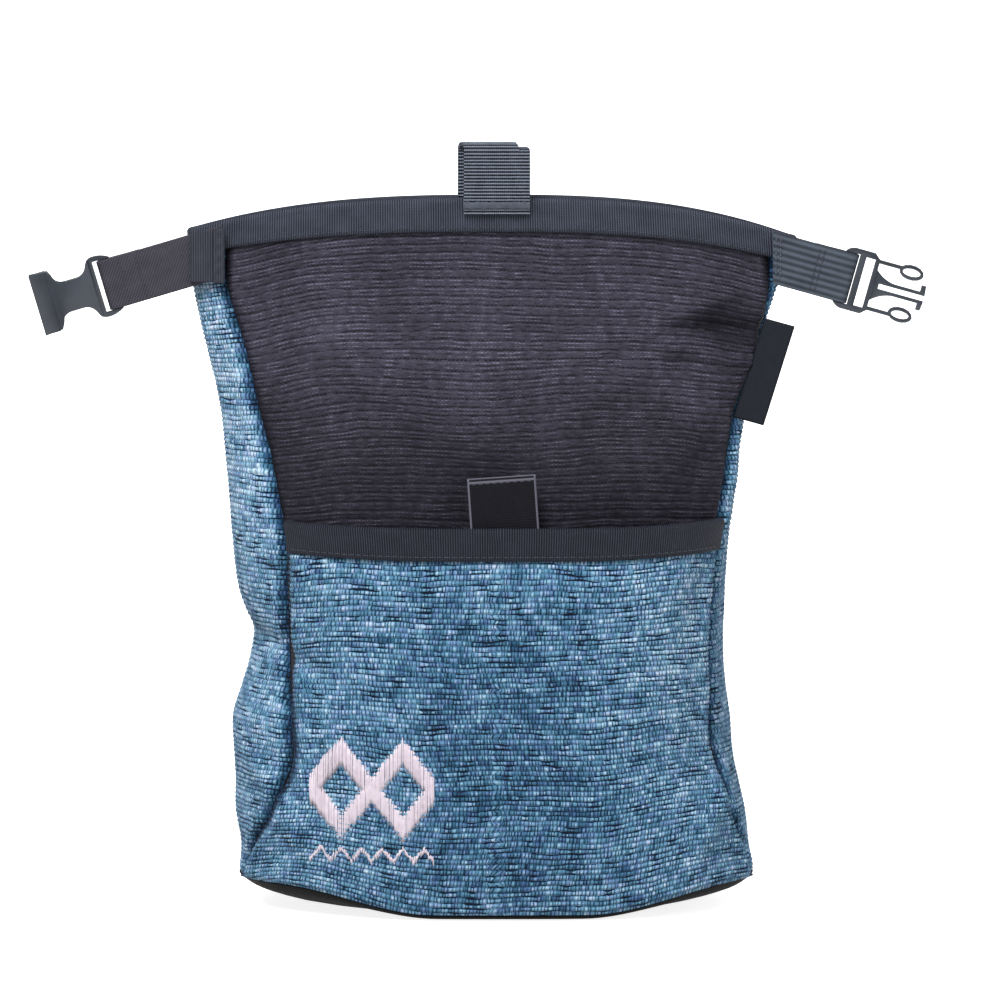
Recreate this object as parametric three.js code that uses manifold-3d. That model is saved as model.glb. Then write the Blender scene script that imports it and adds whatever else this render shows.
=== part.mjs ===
// A roll-top climbing chalk bag, standing open on its base with its two closing straps held out.
// Millimetres. X runs to the right, Y to the back, Z up. The origin is under the middle of the
// base, on the surface that the bag stands on.
import * as THREE from "three";
import { mergeVertices } from "three/addons/utils/BufferGeometryUtils.js";
import Module from "manifold-3d";

const wasm = await Module();
wasm.setup();

// The body of the bag.
const bagHeight = 280; // surface to the top of the rim, in the middle
const rimHalfWidth = 120; // half of the rim, laid flat
const baseHalfDepth = 52; // half of the bag's depth over its base
const wall = 2; // fabric with its lining
const seamGap = 0.3; // clearance between two pieces that are sewn together
const tapeRoom = 0.7; // clearance between a raw edge and the fold of its tape
const rimDropLeft = 12; // how far the rim's ends hang below its middle
const rimDropRight = 15;
const hemRiseMiddle = 2.2; // height of the bottom seam, front and back
const hemRiseSide = 12.5; // and at the two sides
const baseEdge = 1.8; // the base's rolled edge, which shows below the seam
const baseFlatShare = 0.4; // the part of the base that lies flat, as a share of its outline

// Binding tape, doubled over each raw edge.
const tapeThickness = 1;
const rimTapeHeight = 13;
const pocketTapeHeight = 12.5;
const mouthTaper = 6; // the tape's inner leg stops this much sooner, per mm, in the mouth's ends

// The front pocket.
const pocketHeight = 155; // surface to the top of its binding
const pocketWall = 2;
const pocketBulge = 10.5; // how far it stands off the front panel
const tabWidth = 28;
const tabReach = 21.5; // tab above the pocket's edge
const tabTuck = 13; // tab behind the pocket's edge
const tabThickness = 2.4; // webbing, doubled
const tabShift = 2.7; // tab's middle, right of the bag's

// The grab loop on the rim.
const loopWidth = 26;
const loopReach = 22; // loop above the rim
const loopLap = 6; // loop below the rim's top, on both sides of the tape
const loopThickness = 1.2;
const loopShift = 0; // loop's front leg, right of the bag's middle
const loopSkew = -2.4; // loop's back leg, right of its front leg

// The belt loop on the back.
const beltLoopWidth = 25;
const beltLoopFoot = 108; // surface to its lower end
const beltLoopHeight = 58;
const beltRoom = 8; // room for a belt behind the loop
const beltLoopThickness = 1.4;

// The folded label in the right seam.
const labelFoot = 194; // surface to its lower end
const labelHeight = 39;
const labelReach = 11;
const labelThickness = 1.2;

// The two closing straps.
const strapWidth = 20;
const strapThickness = 1.3;
const strapTurnBack = 15; // length of the end that is sewn back behind the strap
const strapLeftLength = 46; // from the seam to the buckle's bar
const strapRightLength = 30;
const strapLeftBelow = 21; // from the rim's top down to the strap's middle at the seam
const strapRightBelow = 23.5;
const strapLeftDroop = 16.5; // degrees below level
const strapRightDroop = 15.6;
const strapRootLeft = 108; // where each strap starts, from the bag's middle
const strapRootRight = 108.3;

// The side-release buckle. Lengths along it are measured from the bar that holds the strap.
const buckleHalfWidth = 12.2;
const barRadius = 1;
const strapRoom = 0.3; // clearance between the strap and the buckle
const armBack = 2.9; // arms behind the bar
const socketLength = 29.5;
const socketLip = 7.2;
const socketWaist = 5.9; // half width
const socketSlot = 4.2; // near edge of the socket's body
const socketDepth = 6.8;
const socketLipDepth = 7.8;
const socketCavity = 4.7;
const plugDepth = 3.6;
const plugBarNear = 2.9; // the second bar
const plugBarFar = 5.4;
const plugFrameNear = 9.2; // the front bar
const plugFrameFar = 10.9;
const prongLength = 29;
const prongThickness = 1.3;
const prongOffset = 9.5; // prong's middle line, from the plug's
const prongLoopLength = 9.8;
const prongLoopWidth = 5.8;
const forkLength = 31.5;
const forkRoot = 6.7; // half width of the fork where it leaves the front bar
const forkGap = 1.1; // half width of the gap between its arms
const forkArm = 1.2;
const forkHook = 2.6;

// The body's sections, from the bottom seam to the rim. up is a share of the panels' height,
// left and right are the outer half widths as shares of rimHalfWidth, depth is the outer half
// depth as a share of baseHalfDepth. across and round are the exponents of the outline: a
// higher across keeps the front and back flat, a higher round fills the corners. The last four
// say where the seams run, each as a share of the half width on its side.
const sections = [
  { up: 0.0, left: 0.848, right: 0.842, depth: 0.98, across: 2.9, round: 2.3, frontLeft: 0.98, frontRight: 0.985, backLeft: 0.96, backRight: 0.94 },
  { up: 0.05, left: 0.842, right: 0.826, depth: 1.01, across: 2.9, round: 2.3, frontLeft: 0.954, frontRight: 0.976, backLeft: 0.95, backRight: 0.92 },
  { up: 0.1, left: 0.859, right: 0.813, depth: 1.02, across: 2.9, round: 2.3, frontLeft: 0.88, frontRight: 0.953, backLeft: 0.93, backRight: 0.88 },
  { up: 0.15, left: 0.86, right: 0.791, depth: 1.01, across: 2.9, round: 2.25, frontLeft: 0.822, frontRight: 0.938, backLeft: 0.91, backRight: 0.85 },
  { up: 0.2, left: 0.866, right: 0.77, depth: 0.99, across: 2.9, round: 2.2, frontLeft: 0.78, frontRight: 0.924, backLeft: 0.9, backRight: 0.83 },
  { up: 0.25, left: 0.863, right: 0.766, depth: 0.97, across: 2.9, round: 2.2, frontLeft: 0.783, frontRight: 0.912, backLeft: 0.9, backRight: 0.82 },
  { up: 0.3, left: 0.835, right: 0.753, depth: 0.95, across: 2.9, round: 2.2, frontLeft: 0.818, frontRight: 0.923, backLeft: 0.9, backRight: 0.82 },
  { up: 0.37, left: 0.808, right: 0.744, depth: 0.92, across: 2.9, round: 2.2, frontLeft: 0.852, frontRight: 0.926, backLeft: 0.9, backRight: 0.82 },
  { up: 0.45, left: 0.853, right: 0.749, depth: 0.88, across: 2.8, round: 2.2, frontLeft: 0.814, frontRight: 0.935, backLeft: 0.9, backRight: 0.82 },
  { up: 0.52, left: 0.867, right: 0.76, depth: 0.82, across: 2.8, round: 2.2, frontLeft: 0.804, frontRight: 0.942, backLeft: 0.9, backRight: 0.83 },
  { up: 0.6, left: 0.88, right: 0.786, depth: 0.72, across: 2.7, round: 2.1, frontLeft: 0.829, frontRight: 0.953, backLeft: 0.9, backRight: 0.85 },
  { up: 0.7, left: 0.904, right: 0.808, depth: 0.55, across: 2.5, round: 2.0, frontLeft: 0.866, frontRight: 0.972, backLeft: 0.91, backRight: 0.88 },
  { up: 0.8, left: 0.95, right: 0.86, depth: 0.37, across: 2.4, round: 1.9, frontLeft: 0.878, frontRight: 0.978, backLeft: 0.92, backRight: 0.92 },
  { up: 0.9, left: 0.992, right: 0.92, depth: 0.225, across: 2.3, round: 1.8, frontLeft: 0.903, frontRight: 0.965, backLeft: 0.92, backRight: 0.94 },
  { up: 1.0, left: 1.004, right: 0.971, depth: 0.165, across: 2.2, round: 1.6, frontLeft: 0.896, frontRight: 0.925, backLeft: 0.9, backRight: 0.92 },
];

// Dents and folds of the front half. x is a share of the half width on that side (left is
// negative), up a share of the panels' height, lean the fold's angle from level in degrees,
// reach and spread its half length and half width as shares of bagHeight, push how far it
// stands out as a share of baseHalfDepth.
const folds = [
  { name: "crease in the left side", x: -0.95, up: 0.375, lean: -24, reach: 0.11, spread: 0.018, push: -0.05 },
  { name: "swell below that crease", x: -0.97, up: 0.27, lean: -20, reach: 0.1, spread: 0.035, push: 0.03 },
  { name: "dent under the right strap", x: 0.8, up: 0.83, lean: 62, reach: 0.08, spread: 0.03, push: -0.055 },
  { name: "drag fold from the left strap", x: -0.62, up: 0.8, lean: -38, reach: 0.13, spread: 0.022, push: 0.028 },
  { name: "drag fold from the right strap", x: 0.52, up: 0.76, lean: 32, reach: 0.12, spread: 0.022, push: 0.03 },
  { name: "ridge in the lower left corner", x: -0.86, up: 0.15, lean: -62, reach: 0.09, spread: 0.016, push: 0.045 },
  { name: "hollow beside that ridge", x: -0.7, up: 0.24, lean: -80, reach: 0.09, spread: 0.018, push: -0.03 },
  { name: "ridge in the lower right corner", x: 0.9, up: 0.14, lean: 64, reach: 0.09, spread: 0.016, push: 0.035 },
  { name: "sag under the pocket's right end", x: 0.84, up: 0.46, lean: 75, reach: 0.07, spread: 0.02, push: -0.03 },
];

// How the panels divide the section, going round from the front left seam.
const panels = {
  front: { from: "frontLeft", to: "frontRight", columns: 24 },
  right: { from: "frontRight", to: "backRight", columns: 7 },
  back: { from: "backRight", to: "backLeft", columns: 16 },
  left: { from: "backLeft", to: "frontLeft", columns: 7 },
};

const tapeLift = tapeRoom + tapeThickness;
const panelTop = bagHeight - tapeLift;
const rimTapeUp = 1 - (rimTapeHeight - tapeLift) / panelTop;
const pocketUp = (pocketHeight - tapeLift) / panelTop;
const pocketTapeUp = pocketUp - (pocketTapeHeight - tapeLift) / panelTop;
const outside = wall + seamGap; // first free distance outside the panels' inner face

// The rows of every panel: even steps below and above the pocket's edge, and the tapes' edges.
const rows = [
  ...stepsBetween(0, pocketTapeUp, 11),
  ...stepsBetween(pocketTapeUp, pocketUp, 1),
  ...stepsBetween(pocketUp, rimTapeUp, 8),
  rimTapeUp,
  1,
];

function stepsBetween(from, to, count) {
  return Array.from({ length: count }, (_, i) => from + ((to - from) * i) / count);
}

function clamp01(x) {
  return Math.min(1, Math.max(0, x));
}

function smooth(x) {
  const c = clamp01(x);
  return c * c * (3 - 2 * c);
}

// One column of the section table at a height, carried smoothly through the rows.
function column(name, up) {
  let i = sections.findIndex((s) => s.up > up) - 1;
  if (i < 0) i = up <= 0 ? 0 : sections.length - 2;
  const a = sections[Math.max(i - 1, 0)];
  const b = sections[i];
  const c = sections[i + 1];
  const d = sections[Math.min(i + 2, sections.length - 1)];
  const span = c.up - b.up;
  const share = (up - b.up) / span;
  const slopeB = ((c[name] - a[name]) / (c.up - a.up)) * span;
  const slopeC = ((d[name] - b[name]) / (d.up - b.up)) * span;
  const s2 = share * share;
  const s3 = s2 * share;
  return (
    (2 * s3 - 3 * s2 + 1) * b[name] +
    (s3 - 2 * s2 + share) * slopeB +
    (3 * s2 - 2 * s3) * c[name] +
    (s3 - s2) * slopeC
  );
}

// How far the folds push the front half of the bag out at a place.
function foldPush(share, up, turn) {
  const front = smooth(0.5 - Math.sin(turn) * 1.5);
  if (front === 0) return 0;
  let push = 0;
  for (const fold of folds) {
    const lean = THREE.MathUtils.degToRad(fold.lean);
    const dx = (share - fold.x) * rimHalfWidth * 0.85;
    const dz = (up - fold.up) * panelTop;
    const along = (dx * Math.cos(lean) + dz * Math.sin(lean)) / (fold.reach * bagHeight);
    const aside = (dz * Math.cos(lean) - dx * Math.sin(lean)) / (fold.spread * bagHeight);
    push += fold.push * baseHalfDepth * Math.exp(-along * along - aside * aside);
  }
  return push * front;
}

// A point of the body. turn goes round the section from the right end, up is the height's
// share, off the distance outside the panels' inner face. Below zero, off shrinks the outline
// towards the inside. Returns x, y, z and the outward direction.
function bodyPoint(turn, up, off) {
  const c = Math.cos(turn);
  const s = Math.sin(turn);
  const across = column("across", up);
  const round = column("round", up);
  const side = c < 0 ? "left" : "right";
  const inset = Math.max(0, -off);
  const halfX = column(side, up) * rimHalfWidth - wall - inset * mouthTaper;
  const halfY = column("depth", up) * baseHalfDepth - wall - inset;
  const shareX = Math.abs(c) ** (2 / across);
  const shareY = Math.abs(s) ** (2 / round);
  const normal = new THREE.Vector3(
    (Math.sign(c) * across * shareX ** (across - 1)) / halfX,
    (Math.sign(s) * round * shareY ** (round - 1)) / halfY,
    0,
  ).normalize();
  const rimDrop = (c < 0 ? rimDropLeft : rimDropRight) * shareX ** 2.7;
  const z = (hemRise(shareX) + seamGap) * (1 - up) ** 3 + up * (panelTop - rimDrop * up ** 5);
  const push = Math.max(off, 0) + foldPush(Math.sign(c) * shareX, up, turn);
  return {
    x: Math.sign(c) * halfX * shareX + normal.x * push,
    y: Math.sign(s) * halfY * shareY + normal.y * push,
    z,
    normal,
  };
}

// Height of the bottom seam, low in front and behind and high at the sides.
function hemRise(shareX) {
  return hemRiseMiddle + (hemRiseSide - hemRiseMiddle) * shareX ** 1.8;
}

// The turn at which a seam crosses the section.
function seamTurn(seam, up) {
  const share = column(seam, up) ** (column("across", up) / 2);
  const angle = Math.acos(clamp01(share));
  const places = {
    frontRight: 2 * Math.PI - angle,
    backRight: 2 * Math.PI + angle,
    backLeft: 3 * Math.PI - angle,
    frontLeft: 3 * Math.PI + angle,
  };
  return places[seam];
}

// Running lengths along one panel's outer face at a height, kept once worked out.
const lengths = new Map();
function panelLengths(panel, up) {
  const key = panel + up.toFixed(6);
  if (lengths.has(key)) return lengths.get(key);
  let from = seamTurn(panels[panel].from, up);
  const to = seamTurn(panels[panel].to, up);
  if (from > to) from -= 2 * Math.PI;
  const count = 160;
  const turns = [];
  const sums = [];
  let last = null;
  let sum = 0;
  for (let i = 0; i <= count; i++) {
    const turn = from + ((to - from) * i) / count;
    const p = bodyPoint(turn, up, wall);
    if (last) sum += Math.hypot(p.x - last.x, p.y - last.y);
    turns.push(turn);
    sums.push(sum);
    last = p;
  }
  const found = { turns, sums, total: sum };
  lengths.set(key, found);
  return found;
}

// A point of a panel at a share of its width, kept back from its seams by the clearance.
function panelPoint(panel, share, up, off, clear = seamGap / 2) {
  const { turns, sums, total } = panelLengths(panel, up);
  const wanted = clear + share * (total - 2 * clear);
  let i = sums.findIndex((s) => s >= wanted);
  if (i < 1) i = i < 0 ? sums.length - 1 : 1;
  const step = (wanted - sums[i - 1]) / (sums[i] - sums[i - 1]);
  return bodyPoint(turns[i - 1] + (turns[i] - turns[i - 1]) * step, up, off);
}

// A closed solid from an outer and an inner grid of points, rows upwards and columns to the
// right as seen from outside. The two grids are joined round their four edges.
function shell(outer, inner) {
  const rowCount = outer.length;
  const columnCount = outer[0].length;
  const positions = [];
  const index = [];
  for (const grid of [outer, inner]) {
    for (const line of grid) for (const p of line) positions.push(p.x, p.y, p.z);
  }
  const at = (layer, r, c) => (layer * rowCount + r) * columnCount + c;
  const quad = (a, b, c, d) => index.push(a, b, c, a, c, d);
  for (let r = 0; r + 1 < rowCount; r++) {
    for (let c = 0; c + 1 < columnCount; c++) {
      quad(at(0, r, c), at(0, r, c + 1), at(0, r + 1, c + 1), at(0, r + 1, c));
      quad(at(1, r, c), at(1, r + 1, c), at(1, r + 1, c + 1), at(1, r, c + 1));
    }
    quad(at(0, r, 0), at(0, r + 1, 0), at(1, r + 1, 0), at(1, r, 0));
    const end = columnCount - 1;
    quad(at(0, r, end), at(1, r, end), at(1, r + 1, end), at(0, r + 1, end));
  }
  for (let c = 0; c + 1 < columnCount; c++) {
    quad(at(0, 0, c), at(1, 0, c), at(1, 0, c + 1), at(0, 0, c + 1));
    const top = rowCount - 1;
    quad(at(0, top, c), at(0, top, c + 1), at(1, top, c + 1), at(1, top, c));
  }
  return indexed(positions, index);
}

// A closed solid swept through stations, each a ring of points that runs anticlockwise as
// seen from the next station. An open sweep gets flat ends, a closed one joins up.
function sweep(stations, closed = false) {
  const ring = stations[0].length;
  const positions = stations.flat().flatMap((p) => [p.x, p.y, p.z]);
  const index = [];
  const count = stations.length;
  const last = closed ? count : count - 1;
  for (let s = 0; s < last; s++) {
    const next = (s + 1) % count;
    for (let k = 0; k < ring; k++) {
      const k1 = (k + 1) % ring;
      const a = s * ring + k;
      const b = s * ring + k1;
      const c = next * ring + k1;
      const d = next * ring + k;
      index.push(a, b, c, a, c, d);
    }
  }
  if (!closed) {
    const ends = THREE.ShapeUtils.triangulateShape(flattened(stations[0]), []);
    const base = (count - 1) * ring;
    for (const [a, b, c] of ends) {
      index.push(a, c, b);
      index.push(base + a, base + b, base + c);
    }
  }
  return indexed(positions, index);
}

// The ring of a station laid out flat, in its own order, so that its end can be filled.
function flattened(ring) {
  const origin = ring[0];
  const u = new THREE.Vector3(ring[1].x - origin.x, ring[1].y - origin.y, ring[1].z - origin.z).normalize();
  const normal = new THREE.Vector3();
  ring.forEach((p, i) => {
    const q = ring[(i + 1) % ring.length];
    normal.x += (p.y - q.y) * (p.z + q.z);
    normal.y += (p.z - q.z) * (p.x + q.x);
    normal.z += (p.x - q.x) * (p.y + q.y);
  });
  const v = new THREE.Vector3().crossVectors(normal.normalize(), u);
  return ring.map((p) => {
    const d = new THREE.Vector3(p.x - origin.x, p.y - origin.y, p.z - origin.z);
    return new THREE.Vector2(d.dot(u), d.dot(v));
  });
}

function indexed(positions, index) {
  const geometry = new THREE.BufferGeometry();
  geometry.setAttribute("position", new THREE.Float32BufferAttribute(positions, 3));
  geometry.setIndex(index);
  geometry.computeVertexNormals();
  return geometry;
}

// A strip of webbing: a rectangle carried along a list of places. Each place has its middle,
// the direction across the strip and the direction of the face that looks out.
function strip(places, width, thickness) {
  const stations = places.map(({ middle, across, face }) => {
    const corner = (w, t) => {
      const edge = middle.clone().addScaledVector(across, w * width);
      return edge.addScaledVector(face, t * thickness);
    };
    return [corner(-0.5, -0.5), corner(0.5, -0.5), corner(0.5, 0.5), corner(-0.5, 0.5)];
  });
  return sweep(stations);
}

// Places along a flat route of [along, out] points, laid into space by a function. The strip's
// face is square to the route, on its left.
function placesAlong(route, lay, across) {
  const laid = route.map(([a, b]) => lay(a, b));
  return laid.map((middle, i) => {
    const before = laid[Math.max(i - 1, 0)];
    const after = laid[Math.min(i + 1, laid.length - 1)];
    const run = new THREE.Vector3().subVectors(after, before).normalize();
    return { middle, across, face: new THREE.Vector3().crossVectors(run, across).normalize() };
  });
}

function material(color, roughness) {
  return new THREE.MeshStandardMaterial({ color, roughness, metalness: 0 });
}

const blueFabric = material("#46789f", 0.95);
const blackFabric = material("#322c38", 0.9);
const baseFabric = material("#1d1d20", 0.85);
const tapeFabric = material("#3c4450", 0.85);
const webbing = material("#454b56", 0.8);
const plastic = material("#464e5a", 0.5);

function mesh(name, geometry, look) {
  const made = new THREE.Mesh(geometry, look);
  made.name = name;
  return made;
}

// One of the four body panels, from the bottom seam to the rim.
function bodyPanel(panel) {
  const { columns } = panels[panel];
  const grid = (off) =>
    rows.map((up) => Array.from({ length: columns + 1 }, (_, c) => panelPoint(panel, c / columns, up, off)));
  return shell(grid(wall), grid(0));
}

// Every upright line round the bag, panel after panel, with both edges of each panel.
function roundLines() {
  return Object.entries(panels).flatMap(([panel, { columns }]) =>
    Array.from({ length: columns + 1 }, (_, c) => ({ panel, share: c / columns })),
  );
}

// The base: flat in the middle, curling up to the bottom seam, with a rolled edge.
function basePanel() {
  const underShares = [1, 0.975, 0.93, 0.8, 0.6, baseFlatShare];
  const topShares = [baseFlatShare, 0.6, 0.8, 0.93, 1];
  const curl = (share) => clamp01((share - baseFlatShare) / (1 - baseFlatShare)) ** 1.6;
  const roll = (share) => clamp01((share - 0.93) / 0.07) ** 2;
  const lines = roundLines();
  const rings = [];
  for (const share of underShares) {
    rings.push(
      lines.map((line) => {
        const p = panelPoint(line.panel, line.share, 0, wall);
        const rise = p.z - seamGap;
        const z = (rise - baseEdge) * curl(share) + baseEdge * roll(share);
        return { x: p.x * share, y: p.y * share, z };
      }),
    );
  }
  for (const share of topShares) {
    rings.push(
      lines.map((line) => {
        const p = panelPoint(line.panel, line.share, 0, 0);
        const rise = p.z - seamGap;
        const z = share === 1 ? rise : (rise - baseEdge) * curl(share) + wall;
        return { x: p.x * share, y: p.y * share, z };
      }),
    );
  }
  const count = lines.length;
  const positions = rings.flat().flatMap((p) => [p.x, p.y, p.z]);
  const underMiddle = rings.length * count;
  positions.push(0, 0, 0, 0, 0, wall);
  const index = [];
  const total = rings.length;
  const firstTop = underShares.length;
  for (let r = 0; r < total; r++) {
    const next = (r + 1) % total;
    if (next === firstTop) continue;
    for (let k = 0; k < count; k++) {
      const k1 = (k + 1) % count;
      const a = r * count + k;
      const b = r * count + k1;
      const c = next * count + k1;
      const d = next * count + k;
      index.push(a, d, c, a, c, b);
    }
  }
  for (let k = 0; k < count; k++) {
    const k1 = (k + 1) % count;
    index.push(underMiddle, (firstTop - 1) * count + k1, (firstTop - 1) * count + k);
    index.push(underMiddle + 1, firstTop * count + k, firstTop * count + k1);
  }
  return indexed(positions, index);
}

// Distance from the front panel's inner face to the pocket's inner face.
function pocketOff(share, up) {
  const rise = up / pocketUp;
  const inward = 1 - Math.abs(2 * share - 1) ** 4;
  const foldRoom = (tapeThickness + seamGap) * smooth((rise - 0.75) / 0.15);
  return outside + foldRoom + pocketBulge * inward * smooth(rise / 0.9);
}

function pocketPanel() {
  const { columns } = panels.front;
  const pocketRows = rows.filter((up) => up <= pocketUp + 1e-9);
  const grid = (extra) =>
    pocketRows.map((up) =>
      Array.from({ length: columns + 1 }, (_, c) =>
        panelPoint("front", c / columns, up, pocketOff(c / columns, up) + extra),
      ),
    );
  return shell(grid(pocketWall), grid(0));
}

// Tape folded over an edge: a U-shaped ring of points at one line of a panel. near and far
// are the faces of what it binds, as distances outside the panels' inner face.
function foldedTape(panel, share, lowUp, topUp, near, far) {
  const skin = seamGap + tapeThickness;
  const place = (up, off, lift) => {
    const p = panelPoint(panel, share, up, off);
    return new THREE.Vector3(p.x, p.y, p.z + lift);
  };
  return [
    place(lowUp, near(lowUp) - seamGap, 0),
    place(lowUp, near(lowUp) - skin, 0),
    place(topUp, near(topUp) - skin, 0),
    place(topUp, near(topUp) - skin + tapeThickness / 2, tapeLift),
    place(topUp, far(topUp) + skin - tapeThickness / 2, tapeLift),
    place(topUp, far(topUp) + skin, 0),
    place(lowUp, far(lowUp) + skin, 0),
    place(lowUp, far(lowUp) + seamGap, 0),
    place(topUp, far(topUp) + seamGap, tapeRoom),
    place(topUp, near(topUp) - seamGap, tapeRoom),
  ];
}

function rimBinding() {
  const stations = roundLines().map(({ panel, share }) =>
    foldedTape(panel, share, rimTapeUp, 1, () => 0, () => wall),
  );
  return sweep(stations, true);
}

function pocketBinding() {
  const { columns } = panels.front;
  const stations = Array.from({ length: columns + 1 }, (_, c) => {
    const share = c / columns;
    const near = (up) => pocketOff(share, up);
    const far = (up) => pocketOff(share, up) + pocketWall;
    return foldedTape("front", share, pocketTapeUp, pocketUp, near, far);
  });
  return sweep(stations);
}

// The share of the front panel at which its outer face lies at x.
function frontShareAt(x, up) {
  let low = 0;
  let high = 1;
  for (let i = 0; i < 30; i++) {
    const middle = (low + high) / 2;
    if (panelPoint("front", middle, up, wall).x < x) low = middle;
    else high = middle;
  }
  return (low + high) / 2;
}

// The share of the panels' height that lies at height z on one upright line of a panel.
function upAt(panel, share, z) {
  let low = 0;
  let high = 1;
  for (let i = 0; i < 30; i++) {
    const middle = (low + high) / 2;
    if (panelPoint(panel, share, middle, wall).z < z) low = middle;
    else high = middle;
  }
  return (low + high) / 2;
}

const across = new THREE.Vector3(1, 0, 0);

// The pull tab: doubled webbing, sewn behind the pocket's edge and standing above it.
function pocketTab() {
  const share = frontShareAt(tabShift, pocketUp);
  const behind = tapeThickness + 2 * seamGap + tabThickness / 2 + 0.4;
  const edge = panelPoint("front", share, pocketUp, pocketOff(share, pocketUp) - behind);
  const foot = panelPoint("front", share, pocketTapeUp, pocketOff(share, pocketTapeUp) - behind);
  const lean = (edge.y - foot.y) / (edge.z - foot.z);
  const heights = [-tabTuck, 0, tabReach * 0.5, tabReach - tabThickness / 2];
  const places = heights.map((dz) => ({
    middle: new THREE.Vector3(tabShift, edge.y + lean * dz, edge.z + dz),
    across,
    face: new THREE.Vector3(0, 1, 0),
  }));
  return strip(places, tabWidth, tabThickness);
}

// The grab loop: webbing over the front half of the rim, one leg outside and one inside.
function topLoop() {
  const share = frontShareAt(loopShift, 1);
  const skin = seamGap + tapeThickness + seamGap + loopThickness / 2 + 0.15;
  const front = panelPoint("front", share, 1, wall + skin);
  const lowFront = panelPoint("front", share, rimTapeUp, wall + skin);
  const back = panelPoint("front", share, 1, -skin);
  const slope = (front.y - lowFront.y) / (front.z - lowFront.z);
  const gap = (back.y - front.y) / 2;
  const middleY = (back.y + front.y) / 2;
  const crown = bagHeight + loopReach - loopThickness / 2 - gap;
  const route = [
    [front.y - slope * loopLap, bagHeight - loopLap],
    [front.y, bagHeight],
    [front.y, bagHeight + loopReach / 2],
  ];
  const turns = 6;
  for (let i = 0; i <= turns; i++) {
    const angle = Math.PI * (1 - i / turns);
    route.push([middleY + gap * Math.cos(angle), crown + gap * Math.sin(angle)]);
  }
  route.push([back.y, bagHeight + loopReach / 2]);
  route.push([back.y, bagHeight]);
  route.push([back.y + slope * loopLap, bagHeight - loopLap]);
  const lay = (y, z) => {
    const skew = loopSkew * smooth((y - front.y) / (back.y - front.y));
    return new THREE.Vector3(loopShift + skew, y, z);
  };
  return strip(placesAlong(route, lay, across), loopWidth, loopThickness);
}

// The belt loop: webbing sewn to the back panel at both ends, standing off it in between.
function beltLoop() {
  const share = 0.5;
  const seat = outside + beltLoopThickness / 2 + 0.3;
  const shape = [
    { along: 0, stand: 0 },
    { along: 0.13, stand: 0 },
    { along: 0.19, stand: 0.45 },
    { along: 0.26, stand: 0.9 },
    { along: 0.36, stand: 1 },
    { along: 0.64, stand: 1 },
    { along: 0.74, stand: 0.9 },
    { along: 0.81, stand: 0.45 },
    { along: 0.87, stand: 0 },
    { along: 1, stand: 0 },
  ];
  const route = shape.map(({ along, stand }) => {
    const z = beltLoopFoot + beltLoopHeight * along;
    const p = panelPoint("back", share, upAt("back", share, z), seat + beltRoom * stand);
    return [p.y, z];
  });
  const middle = panelPoint("back", share, 0.5, wall).x;
  const lay = (y, z) => new THREE.Vector3(middle, y, z);
  return strip(placesAlong(route, lay, across.clone().negate()), beltLoopWidth, beltLoopThickness);
}

// The label: a folded strip caught in the front right seam, standing out from it.
function sideLabel() {
  const steps = 5;
  const places = [];
  for (let i = 0; i <= steps; i++) {
    const z = labelFoot + (labelHeight * i) / steps;
    const up = upAt("front", 1, z);
    const p = panelPoint("front", 1, up, outside + 0.1, 0);
    const out = p.normal;
    places.push({
      middle: new THREE.Vector3(p.x, p.y, p.z).addScaledVector(out, labelReach / 2),
      across: out,
      face: new THREE.Vector3(-out.y, out.x, 0),
    });
  }
  return strip(places, labelReach, labelThickness);
}

// A frame for a strap and its buckle. Its x runs out along the strap from the buckle's bar,
// its y across the strap, upwards. outward is -1 on the left and 1 on the right.
function strapFrame(outward, rootX, rootZ, droop, length, frontY) {
  const angle = THREE.MathUtils.degToRad(droop);
  const along = new THREE.Vector3(outward * Math.cos(angle), 0, -Math.sin(angle));
  const acrossStrap = new THREE.Vector3(outward * Math.sin(angle), 0, Math.cos(angle));
  const deep = new THREE.Vector3().crossVectors(along, acrossStrap);
  const barY = frontY + strapThickness / 2 + strapRoom + barRadius;
  const bar = new THREE.Vector3(outward * rootX, barY, rootZ).addScaledVector(along, length);
  const group = new THREE.Group();
  group.matrixAutoUpdate = false;
  group.matrix.makeBasis(along, acrossStrap, deep).setPosition(bar);
  return group;
}

// A strap in its frame: out from the seam, round the bar and back to its sewn end. back is
// the side of the frame's z on which the end is turned back.
function strapGeometry(length, back) {
  const turnRadius = barRadius + strapRoom + strapThickness / 2;
  const sewn = -turnRadius + strapThickness + seamGap;
  const route = [
    [-length, -turnRadius],
    [-length / 2, -turnRadius],
    [-strapTurnBack, -turnRadius],
    [0, -turnRadius],
  ];
  const turns = 8;
  for (let i = 1; i <= turns; i++) {
    const angle = -Math.PI / 2 + (Math.PI * i) / turns;
    route.push([turnRadius * Math.cos(angle), turnRadius * Math.sin(angle)]);
  }
  route.push([-strapTurnBack * 0.2, turnRadius * 0.75]);
  route.push([-strapTurnBack * 0.45, (turnRadius + sewn) / 2]);
  route.push([-strapTurnBack * 0.7, sewn]);
  route.push([-strapTurnBack, sewn]);
  const lay = (a, b) => new THREE.Vector3(a, 0, b * back);
  const upwards = new THREE.Vector3(0, -back, 0);
  return strip(placesAlong(route, lay, upwards), strapWidth, strapThickness);
}

// A flat outline turned into a solid plate, centred on its own plane.
function plate(shape, depth, curveSegments = 8) {
  const geometry = new THREE.ExtrudeGeometry(shape, { depth, bevelEnabled: false, curveSegments });
  geometry.translate(0, 0, -depth / 2);
  return geometry;
}

function block(x0, x1, halfY, depth) {
  const geometry = new THREE.BoxGeometry(x1 - x0, 2 * halfY, depth);
  geometry.translate((x0 + x1) / 2, 0, 0);
  return geometry;
}

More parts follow.
